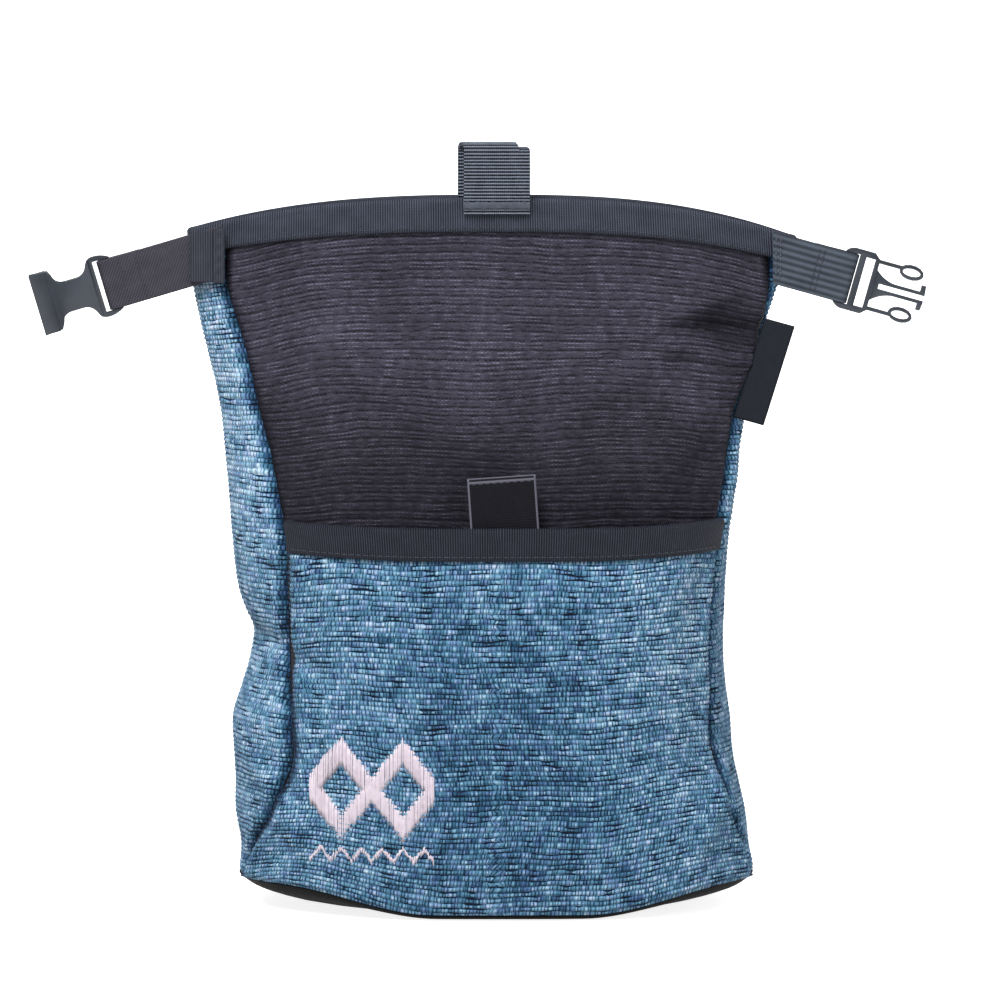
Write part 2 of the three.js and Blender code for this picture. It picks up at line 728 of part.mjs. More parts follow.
function toSolid(geometry) {
  const bare = geometry.clone();
  bare.deleteAttribute("normal");
  bare.deleteAttribute("uv");
  const merged = mergeVertices(bare, 1e-4);
  return new wasm.Manifold(
    new wasm.Mesh({
      numProp: 3,
      vertProperties: merged.attributes.position.array,
      triVerts: new Uint32Array(merged.index.array),
    }),
  );
}

function fromSolid(solid) {
  const { vertProperties, triVerts, numProp } = solid.getMesh();
  const positions = [];
  for (let i = 0; i < vertProperties.length; i += numProp) {
    positions.push(vertProperties[i], vertProperties[i + 1], vertProperties[i + 2]);
  }
  return indexed(positions, Array.from(triVerts));
}

// The bar that the strap goes round, with its ends let into the arms.
function strapBar() {
  const length = strapWidth + 2 * strapRoom + 1;
  return toSolid(new THREE.CylinderGeometry(barRadius, barRadius, length, 10));
}

// The socket half: two arms with the bar, a waist, and a wide lip round the mouth.
function socketGeometry() {
  const lipStart = socketLength - socketLip;
  const outline = new THREE.Shape();
  outline.moveTo(-armBack, -buckleHalfWidth + 1.9);
  outline.quadraticCurveTo(0, -buckleHalfWidth, 3.4, -buckleHalfWidth);
  outline.quadraticCurveTo(6.4, -buckleHalfWidth, 7.2, -9.6);
  outline.quadraticCurveTo(8.8, -socketWaist, 12, -socketWaist);
  outline.lineTo(16.5, -socketWaist);
  outline.quadraticCurveTo(20.6, -socketWaist, 21.2, -9.4);
  outline.lineTo(lipStart, -buckleHalfWidth + 0.5);
  outline.lineTo(socketLength, -buckleHalfWidth);
  outline.lineTo(socketLength, buckleHalfWidth);
  outline.lineTo(lipStart, buckleHalfWidth - 0.5);
  outline.lineTo(21.2, 9.4);
  outline.quadraticCurveTo(20.6, socketWaist, 16.5, socketWaist);
  outline.lineTo(12, socketWaist);
  outline.quadraticCurveTo(8.8, socketWaist, 7.2, 9.6);
  outline.quadraticCurveTo(6.4, buckleHalfWidth, 3.4, buckleHalfWidth);
  outline.quadraticCurveTo(0, buckleHalfWidth, -armBack, buckleHalfWidth - 1.9);
  const strapHole = strapWidth / 2 + strapRoom;
  const thin = toSolid(plate(outline, plugDepth)).subtract(
    toSolid(block(-armBack - 1, socketSlot, strapHole, socketDepth * 2)),
  );
  const thick = toSolid(plate(outline, socketDepth)).intersect(
    toSolid(block(socketSlot + 1.6, socketLength, buckleHalfWidth, socketDepth * 2)),
  );
  const lip = toSolid(block(lipStart + 1, socketLength, buckleHalfWidth - 0.2, socketLipDepth));
  const mouth = toSolid(block(socketLength - 13, socketLength + 1, buckleHalfWidth - 1.6, socketCavity));
  const guide = toSolid(block(socketLength - 20, socketLength + 1, forkRoot / 2, socketCavity));
  const body = thin.add(thick).add(lip).subtract(mouth).subtract(guide);
  return fromSolid(body.add(strapBar()));
}

// An ellipse with a hole, at the end of a prong.
function prongLoop(centreX, centreY) {
  const shape = new THREE.Shape();
  shape.absellipse(centreX, centreY, prongLoopLength / 2, prongLoopWidth / 2, 0, 2 * Math.PI);
  const hole = new THREE.Path();
  const room = prongThickness;
  hole.absellipse(centreX, centreY, prongLoopLength / 2 - room, prongLoopWidth / 2 - room, 0, 2 * Math.PI);
  shape.holes.push(hole);
  return toSolid(plate(shape, plugDepth - 0.4, 7));
}

// The plug half: a ladder frame with the bar, two sprung prongs and a forked tongue.
function plugGeometry() {
  const outline = new THREE.Shape();
  outline.moveTo(-armBack, -buckleHalfWidth + 1.9);
  outline.quadraticCurveTo(-1.2, -buckleHalfWidth, 1, -buckleHalfWidth);
  outline.lineTo(plugFrameNear - 0.6, -buckleHalfWidth);
  outline.lineTo(plugFrameFar, -buckleHalfWidth + 2);
  outline.lineTo(plugFrameFar, buckleHalfWidth - 2);
  outline.lineTo(plugFrameNear - 0.6, buckleHalfWidth);
  outline.lineTo(1, buckleHalfWidth);
  outline.quadraticCurveTo(-1.2, buckleHalfWidth, -armBack, buckleHalfWidth - 1.9);
  const strapHole = strapWidth / 2 + strapRoom;
  let plug = toSolid(plate(outline, plugDepth));
  plug = plug.subtract(toSolid(block(-armBack - 1, plugBarNear, strapHole, plugDepth * 2)));
  plug = plug.subtract(toSolid(block(plugBarFar, plugFrameNear, strapHole - 0.4, plugDepth * 2)));
  plug = plug.add(strapBar());

  const loopX = prongLength - prongLoopLength / 2;
  for (const side of [-1, 1]) {
    const prong = block(plugFrameNear, loopX - prongLoopLength / 2 + 1, prongThickness / 2, plugDepth - 0.4);
    prong.translate(0, side * prongOffset, 0);
    plug = plug.add(toSolid(prong));
    plug = plug.add(prongLoop(loopX, side * (prongOffset - 0.9)));
  }

  const fork = new THREE.Shape();
  const tip = forkGap + forkArm;
  fork.moveTo(plugFrameFar - 0.5, -forkRoot);
  fork.quadraticCurveTo(plugFrameFar + 3, -tip - 0.6, plugFrameFar + 8, -tip);
  fork.lineTo(forkLength - 2.2, -tip);
  fork.lineTo(forkLength - 2.2, -tip - forkHook);
  fork.lineTo(forkLength - 0.4, -tip - forkHook);
  fork.lineTo(forkLength, -forkGap);
  fork.lineTo(plugFrameFar + 2, -forkGap);
  fork.lineTo(plugFrameFar + 2, forkGap);
  fork.lineTo(forkLength, forkGap);
  fork.lineTo(forkLength - 0.4, tip + forkHook);
  fork.lineTo(forkLength - 2.2, tip + forkHook);
  fork.lineTo(forkLength - 2.2, tip);
  fork.lineTo(plugFrameFar + 8, tip);
  fork.quadraticCurveTo(plugFrameFar + 3, tip + 0.6, plugFrameFar - 0.5, forkRoot);
  plug = plug.add(toSolid(plate(fork, plugDepth - 0.8)));
  return fromSolid(plug);
}

// Where a strap's middle plane lies: in front of the rim tape and of the panel below it, at
// the corner of the strap's root that reaches furthest in.
function strapPlane(outward, root, rootZ, droop) {
  const angle = THREE.MathUtils.degToRad(droop);
  const innerX = outward * (root - (strapWidth / 2) * Math.sin(angle));
  const lowUp = upAt("front", frontShareAt(innerX, rimTapeUp), rootZ - (strapWidth / 2) * Math.cos(angle));
  const tapeFace = panelPoint("front", frontShareAt(innerX, rimTapeUp), rimTapeUp, outside + tapeThickness).y;
  const panelFace = panelPoint("front", frontShareAt(innerX, lowUp), lowUp, wall).y;
  return Math.min(tapeFace, panelFace) - seamGap - strapThickness / 2;
}

const bag = new THREE.Group();
bag.name = "chalk_bag";
bag.add(mesh("base_panel", basePanel(), baseFabric));
bag.add(mesh("front_panel", bodyPanel("front"), blackFabric));
bag.add(mesh("back_panel", bodyPanel("back"), blackFabric));
bag.add(mesh("side_panel_left", bodyPanel("left"), blueFabric));
bag.add(mesh("side_panel_right", bodyPanel("right"), blueFabric));
bag.add(mesh("pocket_panel", pocketPanel(), blueFabric));
bag.add(mesh("pocket_binding", pocketBinding(), tapeFabric));
bag.add(mesh("pocket_tab", pocketTab(), webbing));
bag.add(mesh("rim_binding", rimBinding(), tapeFabric));
bag.add(mesh("top_loop", topLoop(), webbing));
bag.add(mesh("belt_loop", beltLoop(), webbing));
bag.add(mesh("side_label", sideLabel(), tapeFabric));

const strapLeftRoot = bagHeight - strapLeftBelow;
const leftPlane = strapPlane(-1, strapRootLeft, strapLeftRoot, strapLeftDroop);
const leftStrap = strapFrame(-1, strapRootLeft, strapLeftRoot, strapLeftDroop, strapLeftLength, leftPlane);
leftStrap.add(mesh("strap_left", strapGeometry(strapLeftLength, 1), webbing));
leftStrap.add(mesh("buckle_socket", socketGeometry(), plastic));
bag.add(leftStrap);

const strapRightRoot = bagHeight - strapRightBelow;
const rightPlane = strapPlane(1, strapRootRight, strapRightRoot, strapRightDroop);
const rightStrap = strapFrame(1, strapRootRight, strapRightRoot, strapRightDroop, strapRightLength, rightPlane);
rightStrap.add(mesh("strap_right", strapGeometry(strapRightLength, -1), webbing));
rightStrap.add(mesh("buckle_plug", plugGeometry(), plastic));
bag.add(rightStrap);

export default bag;
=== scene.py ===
# %% [markdown]
# # A roll-top climbing chalk bag
#
# This lesson dresses a finished frame of solids as the real bag: ribbed chenille, black corded
# cloth, grosgrain binding, webbing, moulded buckles and thread. Every surface is a formula on a
# grid of numbers, so each step can be read, changed and run again.
#
# ## The frame
#
# The frame gives the bag's true sizes.

# %% Load the frame
import math

import bmesh
import bpy
import numpy as np
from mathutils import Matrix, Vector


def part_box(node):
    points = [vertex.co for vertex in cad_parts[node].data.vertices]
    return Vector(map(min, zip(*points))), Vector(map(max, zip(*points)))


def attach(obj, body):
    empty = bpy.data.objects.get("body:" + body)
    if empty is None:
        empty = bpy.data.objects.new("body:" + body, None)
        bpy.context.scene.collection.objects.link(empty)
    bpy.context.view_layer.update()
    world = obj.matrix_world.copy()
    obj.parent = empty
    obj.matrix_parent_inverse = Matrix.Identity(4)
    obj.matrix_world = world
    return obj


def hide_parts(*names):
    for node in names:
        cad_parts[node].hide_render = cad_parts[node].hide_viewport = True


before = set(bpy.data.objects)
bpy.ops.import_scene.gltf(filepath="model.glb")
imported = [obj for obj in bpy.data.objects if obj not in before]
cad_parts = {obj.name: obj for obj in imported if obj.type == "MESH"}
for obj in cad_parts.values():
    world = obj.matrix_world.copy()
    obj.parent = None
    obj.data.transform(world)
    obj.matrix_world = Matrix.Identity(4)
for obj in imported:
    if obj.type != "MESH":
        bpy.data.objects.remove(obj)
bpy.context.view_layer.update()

# %% [markdown]
# ## Sizes
#
# The bag is worked out in millimetres and turned to metres only when a mesh is made. The body is
# one tall sleeve: wide and flat at the rim, deep over its base. A table of sections holds its
# shape, each row a share of the named sizes, from the bottom seam up to the rim.

# %% Sizes and the table of sections
MM = 0.001
BAG_HEIGHT = 280.0
RIM_HALF_WIDTH = 120.0
BASE_HALF_DEPTH = 52.0
WALL = 2.0
SEAM_GAP = 0.3
TAPE_ROOM = 0.7
TAPE_THICKNESS = 1.0
RIM_DROP = {"left": 12.0, "right": 15.0}
HEM_RISE_MIDDLE = 2.2
HEM_RISE_SIDE = 12.5
HEM_TURN = {"left": 0.25, "right": 0.36}
HEM_BEND = 0.6
RIM_DROP_POWER = 2.7
FOLD_HALF_WIDTH = 0.85 * RIM_HALF_WIDTH
INNER_CORNER = 6.0
BASE_EDGE = 1.8
BASE_FLAT = 0.4
BASE_CURL = 2.6
RIM_TAPE = 13.0
POCKET_TAPE = 12.5
POCKET_HEIGHT = 155.0
POCKET_WALL = 2.0
POCKET_BULGE = 10.5
TAPE_LIFT = TAPE_ROOM + TAPE_THICKNESS
PANEL_TOP = BAG_HEIGHT - TAPE_LIFT
RIM_TAPE_UP = 1 - (RIM_TAPE - TAPE_LIFT) / PANEL_TOP
POCKET_UP = (POCKET_HEIGHT - TAPE_LIFT) / PANEL_TOP
POCKET_TAPE_UP = POCKET_UP - (POCKET_TAPE - TAPE_LIFT) / PANEL_TOP
OUTSIDE = WALL + SEAM_GAP

COLUMNS = (
    "up", "left", "right", "depth", "across", "round", "front_left", "front_right", "back_left", "back_right",
)
SECTIONS = np.array([
    (0.00, 0.848, 0.842, 0.980, 2.9, 2.30, 0.980, 0.985, 0.96, 0.94),
    (0.05, 0.842, 0.826, 1.010, 2.9, 2.30, 0.954, 0.976, 0.95, 0.92),
    (0.10, 0.859, 0.813, 1.020, 2.9, 2.30, 0.880, 0.953, 0.93, 0.88),
    (0.15, 0.860, 0.791, 1.010, 2.9, 2.25, 0.822, 0.938, 0.91, 0.85),
    (0.20, 0.866, 0.770, 0.990, 2.9, 2.20, 0.780, 0.924, 0.90, 0.83),
    (0.25, 0.863, 0.766, 0.970, 2.9, 2.20, 0.783, 0.912, 0.90, 0.82),
    (0.30, 0.835, 0.753, 0.950, 2.9, 2.20, 0.818, 0.923, 0.90, 0.82),
    (0.37, 0.808, 0.744, 0.920, 2.9, 2.20, 0.852, 0.926, 0.90, 0.82),
    (0.45, 0.853, 0.749, 0.880, 2.8, 2.20, 0.814, 0.935, 0.90, 0.82),
    (0.52, 0.867, 0.760, 0.820, 2.8, 2.20, 0.804, 0.942, 0.90, 0.83),
    (0.60, 0.880, 0.786, 0.720, 2.7, 2.10, 0.829, 0.953, 0.90, 0.85),
    (0.70, 0.904, 0.808, 0.550, 2.5, 2.00, 0.866, 0.972, 0.91, 0.88),
    (0.80, 0.950, 0.864, 0.370, 2.4, 1.90, 0.878, 0.993, 0.92, 0.92),
    (0.90, 0.992, 0.910, 0.225, 2.3, 1.80, 0.903, 0.990, 0.92, 0.94),
    (1.00, 1.004, 0.971, 0.165, 2.2, 1.60, 0.896, 0.925, 0.90, 0.92),
])
# x, up, lean in degrees, reach, spread, push: dents and folds of the front half
FOLDS = np.array([
    (-0.95, 0.375, -24, 0.110, 0.018, -0.050),
    (-0.97, 0.270, -20, 0.100, 0.035, 0.030),
    (0.80, 0.830, 62, 0.080, 0.030, -0.055),
    (-0.62, 0.800, -38, 0.130, 0.022, 0.028),
    (0.52, 0.760, 32, 0.120, 0.022, 0.030),
    (-0.86, 0.150, -62, 0.090, 0.016, 0.045),
    (-0.70, 0.240, -80, 0.090, 0.018, -0.030),
    (0.90, 0.140, 64, 0.090, 0.016, 0.035),
    (0.84, 0.460, 75, 0.070, 0.020, -0.030),
    (0.84, 0.832, 4, 0.060, 0.013, -0.060),
    (0.80, 0.795, -12, 0.090, 0.013, 0.045),
    (0.74, 0.860, 28, 0.090, 0.014, 0.030),
    (0.76, 0.755, -30, 0.080, 0.012, -0.025),
    (0.86, 0.640, 70, 0.080, 0.016, -0.030),
    (-0.78, 0.720, 68, 0.090, 0.018, -0.035),
])
PANELS = {
    "front": ("front_left", "front_right"),
    "right": ("front_right", "back_right"),
    "back": ("back_right", "back_left"),
    "left": ("back_left", "front_left"),
}
print("sections", SECTIONS.shape, "folds", FOLDS.shape)

# %% [markdown]
# ## The body as a formula
#
# Seen from above, the bag is a rounded box: a superellipse whose exponents say how flat its faces
# and how full its corners are. Two numbers find any place on it: a turn round the outline and a
# share of the height. A third number, off, is the distance outside the cloth's inner face. The
# same formula then carries the panels, the pocket, the tapes and every stitch.

# %% Carry the table smoothly through its rows
def column(name, up):
    """Cubic Hermite curve through one column: each row's slope is taken from its two neighbours."""
    up = np.asarray(up, float)
    ups, values = SECTIONS[:, 0], SECTIONS[:, COLUMNS.index(name)]
    b = np.clip(np.searchsorted(ups, up, side="right") - 1, 0, len(ups) - 2)
    a, c, d = np.maximum(b - 1, 0), b + 1, np.minimum(b + 2, len(ups) - 1)
    span = ups[c] - ups[b]
    t = (up - ups[b]) / span
    slope_b = (values[c] - values[a]) / (ups[c] - ups[a]) * span
    slope_c = (values[d] - values[b]) / (ups[d] - ups[b]) * span
    rise = (2 * t**3 - 3 * t**2 + 1) * values[b] + (t**3 - 2 * t**2 + t) * slope_b
    return rise + (3 * t**2 - 2 * t**3) * values[c] + (t**3 - t**2) * slope_c


def smooth(x):
    """0 below 0, 1 above 1, and 3x² - 2x³ in between."""
    x = np.clip(x, 0, 1)
    return x * x * (3 - 2 * x)


def fold_push(share, up, turn):
    """Sum of Gaussian ridges, each long along its lean and narrow across it, on the front half."""
    push = np.zeros(np.broadcast(share, up).shape)
    for x, at_up, lean, reach, spread, height in FOLDS:
        angle = math.radians(lean)
        dx = (share - x) * FOLD_HALF_WIDTH
        dz = (up - at_up) * PANEL_TOP
        along = (dx * math.cos(angle) + dz * math.sin(angle)) / (reach * BAG_HEIGHT)
        aside = (dz * math.cos(angle) - dx * math.sin(angle)) / (spread * BAG_HEIGHT)
        push += height * BASE_HALF_DEPTH * np.exp(-along**2 - aside**2)
    return push * smooth(0.5 - np.sin(turn) * 1.5)


def body_point(turn, up, off):
    """x = ±half width times |cos|^(2/across), y = ±half depth times |sin|^(2/round), pushed out
    along the outline's normal by off and the folds; z rises evenly, less the rim's drop."""
    turn, up, off = np.broadcast_arrays(*(np.asarray(v, float) for v in (turn, up, off)))
    c, s = np.cos(turn), np.sin(turn)
    across, round_ = column("across", up), column("round", up)
    inset = np.maximum(0, -off)
    half_x = np.where(c < 0, column("left", up), column("right", up)) * RIM_HALF_WIDTH
    half_x = half_x - WALL - inset * INNER_CORNER
    half_y = column("depth", up) * BASE_HALF_DEPTH - WALL - inset
    share_x, share_y = np.abs(c) ** (2 / across), np.abs(s) ** (2 / round_)
    nx = np.sign(c) * across * share_x ** (across - 1) / half_x
    ny = np.sign(s) * round_ * share_y ** (round_ - 1) / half_y
    length = np.hypot(nx, ny)
    nx, ny = nx / length, ny / length
    drop = np.where(c < 0, RIM_DROP["left"], RIM_DROP["right"]) * share_x**RIM_DROP_POWER
    outwards = smooth((share_x - np.where(c < 0, HEM_TURN["left"], HEM_TURN["right"])) / HEM_BEND)
    hem = SEAM_GAP + HEM_RISE_MIDDLE + (HEM_RISE_SIDE - HEM_RISE_MIDDLE) * outwards
    z = hem * (1 - up) ** 3 + up * (PANEL_TOP - drop * up**5)
    push = np.maximum(off, 0) + fold_push(np.sign(c) * share_x, up, turn)
    x = np.sign(c) * half_x * share_x + nx * push
    y = np.sign(s) * half_y * share_y + ny * push
    return np.stack([x, y, z], -1)


# %% Share a panel's width evenly
def seam_turn(seam, up):
    """The turn at which a seam crosses the outline: the inverse of x's formula."""
    angle = np.arccos(np.clip(column(seam, up) ** (column("across", up) / 2), 0, 1))
    start = {"front_right": 2, "back_right": 2, "back_left": 3, "front_left": 3}[seam] * math.pi
    return start - angle if seam in ("front_right", "back_left") else start + angle


def panel_turns(panel, shares, ups, clear=SEAM_GAP / 2):
    """For each height, the turns that divide the panel's outer face into even running lengths."""
    first, last = (seam_turn(seam, ups) for seam in PANELS[panel])
    first = np.where(first > last, first - 2 * math.pi, first)
    steps = np.linspace(0, 1, 161)
    fine = first[:, None] + (last - first)[:, None] * steps
    places = body_point(fine, ups[:, None], WALL)
    gaps = np.hypot(*np.moveaxis(np.diff(places[..., :2], axis=1), -1, 0))
    sums = np.concatenate([np.zeros((len(ups), 1)), np.cumsum(gaps, axis=1)], axis=1)
    wanted = clear + shares * (sums[:, -1:] - 2 * clear)
    turns = np.stack([np.interp(w, s, f) for w, s, f in zip(wanted, sums, fine)])
    return turns, sums[:, -1]


def panel_grid(panel, shares, ups, off):
    """A grid of places on a panel, rows up and columns to the right as seen from outside."""
    shares, ups = np.atleast_1d(shares), np.atleast_1d(np.asarray(ups, float))
    turns, widths = panel_turns(panel, shares[None, :], ups)
    return body_point(turns, ups[:, None], off), widths


corner = panel_grid("front", [0.5], [1.0], WALL)[0][0, 0]
print("middle of the front rim, mm:", corner.round(2))

# %% [markdown]
# ## From numbers to a mesh
#
# A cloth panel is a closed shell: a fine outer grid that carries the ribs, a coarse inner grid
# that nobody looks at closely, and a narrow edge that joins the two. Each edge face takes one
# coarse step inside and several fine steps outside, so no triangles are wasted on the lining.

# %% Meshes from grids
def grid_faces(rows, columns, start=0, flip=False, wrap=False):
    """Quads between neighbouring rows and columns, anticlockwise as seen from outside."""
    r, c = np.meshgrid(np.arange(rows - 1), np.arange(columns if wrap else columns - 1), indexing="ij")
    c1 = (c + 1) % columns
    quads = np.stack([r * columns + c, r * columns + c1, (r + 1) * columns + c1, (r + 1) * columns + c], -1)
    quads = quads.reshape(-1, 4) + start
    return quads[:, ::-1] if flip else quads


def run_lengths(points):
    """How far along a polyline each of its points is."""
    return np.concatenate([[0], np.cumsum(np.linalg.norm(np.diff(points, axis=0), axis=1))])


def line_of(x, y, z):
    """A line of places from three coordinates, each a row of numbers or one for all."""
    return np.stack(np.broadcast_arrays(x, y, z), -1).astype(float)


def signed_volume(points, faces):
    """Sum over the triangles of a . (b x c) / 6: above zero where the faces point outwards."""
    total = 0.0
    for f in faces:
        for i in range(1, f.shape[1] - 1):
            a, b, c = points[f[:, 0]], points[f[:, i]], points[f[:, i + 1]]
            total += float((a * np.cross(b, c)).sum()) / 6
    return total


def make_piece(name, points, faces, uvs=None, materials=(), slots=None, flat=(), attributes=None):
    """One mesh object from points in mm and a list of face arrays; slots gives each array its
    material, flat names the arrays that aren't smooth-shaded, uvs is one pair per point."""
    if signed_volume(np.asarray(points), faces) < 0:
        faces = [f[:, ::-1] for f in faces]
    mesh = bpy.data.meshes.new(name)
    totals = np.concatenate([np.full(len(f), f.shape[1]) for f in faces])
    corners = np.concatenate([f.ravel() for f in faces]).astype(np.int32)
    mesh.vertices.add(len(points))
    mesh.vertices.foreach_set("co", (np.asarray(points) * MM).astype(np.float32).ravel())
    mesh.loops.add(len(corners))
    mesh.loops.foreach_set("vertex_index", corners)
    mesh.polygons.add(len(totals))
    mesh.polygons.foreach_set("loop_start", np.concatenate([[0], np.cumsum(totals)[:-1]]).astype(np.int32))
    shade = np.concatenate([np.full(len(f), i not in flat) for i, f in enumerate(faces)])
    mesh.polygons.foreach_set("use_smooth", shade)
    for material in materials:
        mesh.materials.append(material)
    if slots is not None:
        index = np.concatenate([np.full(len(f), slots[i]) for i, f in enumerate(faces)])
        mesh.polygons.foreach_set("material_index", index.astype(np.int32))
    if uvs is not None:
        layer = mesh.uv_layers.new(name="cloth")
        layer.data.foreach_set("uv", np.asarray(uvs, np.float32)[corners].ravel())
    for key, values in (attributes or {}).items():
        kept = mesh.attributes.new(key, "FLOAT", "POINT")
        kept.data.foreach_set("value", np.asarray(values, np.float32).ravel())
    mesh.update(calc_edges=True)
    mesh.validate()
    piece = bpy.data.objects.new(name, mesh)
    bpy.context.scene.collection.objects.link(piece)
    return piece


def shell_faces(rows, columns, step_r, step_c):
    """Faces of a closed cloth: the fine outer grid, the coarse inner grid, and the four edges."""
    inner_r, inner_c = (rows - 1) // step_r + 1, (columns - 1) // step_c + 1
    base = rows * columns
    outer = grid_faces(rows, columns)
    inner = grid_faces(inner_r, inner_c, base, flip=True)
    r = np.arange(inner_r - 1)[:, None]
    c = np.arange(inner_c - 1)[:, None]
    up, over = np.arange(step_r + 1)[None, :], np.arange(step_c + 1)[None, :]
    left = np.hstack([((r * step_r + up) * columns), base + (r + 1) * inner_c, base + r * inner_c])
    last = columns - 1
    right = np.hstack([(r * step_r + up[:, ::-1]) * columns + last, base + r * inner_c + inner_c - 1,
                       base + (r + 1) * inner_c + inner_c - 1])
    low = np.hstack([c * step_c + over[:, ::-1], base + c, base + c + 1])
    top_row, top_inner = (rows - 1) * columns, base + (inner_r - 1) * inner_c
    high = np.hstack([top_row + c * step_c + over, top_inner + c + 1, top_inner + c])
    return [outer, inner, left, right, low, high]


print("a 5 by 9 shell has", sum(len(f) for f in shell_faces(5, 9, 2, 4)), "faces")

# %% [markdown]
# ## Colour and nodes
#
# Colours are written as they are read off a screen, as sRGB hex, and turned to the linear
# values that light is added up in. One function adds a node with its settings and links. It
# gives back a wire, the node's output, and a sign between wires adds a Math node, so that a
# pattern reads as its formula.

# %% Helpers for materials
def linear(hex_colour):
    """sRGB hex to linear RGBA: c/12.92 below 0.04045, else ((c + 0.055)/1.055)^2.4."""
    parts = [int(hex_colour[i:i + 2], 16) / 255 for i in (1, 3, 5)]
    return [p / 12.92 if p <= 0.04045 else ((p + 0.055) / 1.055) ** 2.4 for p in parts] + [1.0]


class Wire:
    """One output of a node. Each sign in SIGNS adds a Math node to the wire's tree."""

    def __init__(self, tree, socket):
        """Keeps the output's socket and the tree that it is in."""
        self.tree, self.socket = tree, socket

    def __rsub__(self, other):
        """A number less the wire."""
        return self * -1 + other


def connect(tree, node, inputs):
    """Fills a node's inputs with values, wires, or (x, y, z) tuples of either."""
    for key, value in dict(inputs).items():
        if isinstance(value, tuple):
            value = add(tree, "CombineXYZ", dict(enumerate(value)))
        if isinstance(value, Wire):
            tree.links.new(value.socket, node.inputs[key])
        else:
            node.inputs[key].default_value = value


def add(tree, kind, inputs=(), out=0, stops=(), **settings):
    """Adds a node with its own settings, its inputs and, for a colour ramp, its stops as pairs of
    place and hex colour. Gives back the output called out, as a wire."""
    node = tree.nodes.new("ShaderNode" + kind)
    for name, value in settings.items():
        setattr(node, name, value)
    for i, (place, colour) in enumerate(stops):
        stop = node.color_ramp.elements[i] if i < 2 else node.color_ramp.elements.new(place)
        stop.position, stop.color = place, linear(colour)
    connect(tree, node, inputs)
    return Wire(tree, node.outputs[out])


SIGNS = {
    "__add__": "ADD", "__radd__": "ADD", "__sub__": "SUBTRACT", "__mul__": "MULTIPLY", "__rmul__": "MULTIPLY",
    "__truediv__": "DIVIDE", "__mod__": "FLOORED_MODULO", "__pow__": "POWER", "__abs__": "ABSOLUTE",
    "__floor__": "FLOOR",
}
for sign, kind in SIGNS.items():
    setattr(Wire, sign, lambda a, b=0.0, kind=kind: add(a.tree, "Math", {0: a, 1: b}, operation=kind))


def new_material(name):
    """An empty material with its node tree and its principled shader."""
    material = bpy.data.materials.new(name)
    material.use_nodes = True
    return material, material.node_tree, material.node_tree.nodes["Principled BSDF"]


def cloth_place(tree):
    """The piece's own running lengths: mm along the cloth, and ribs or mm counted across it."""
    place = add(tree, "UVMap", uv_map="cloth")
    return [add(tree, "SeparateXYZ", {0: place}, side) * 100 for side in "XY"]


print("signs that add a node:", len(SIGNS))

# %% [markdown]
# ## Blue chenille
#
# Chenille is woven with a furry yarn that lies across the cloth in fat ribs, about 2.1 mm apart.
# The pile breaks into nubs, about 1.4 mm long, and the yarn is heathered: runs of navy, teal and
# violet blue. Each rib gets its own random shift, so that nubs and runs don't line up.

# %% Chenille
CHENILLE_PITCH = 2.1
NUB_LENGTH = 1.4
CHENILLE_SHIFT = 60.0
FLAT_NOISE = {"noise_dimensions": "2D"}
SOFT_STEP = {"interpolation_type": "SMOOTHSTEP"}


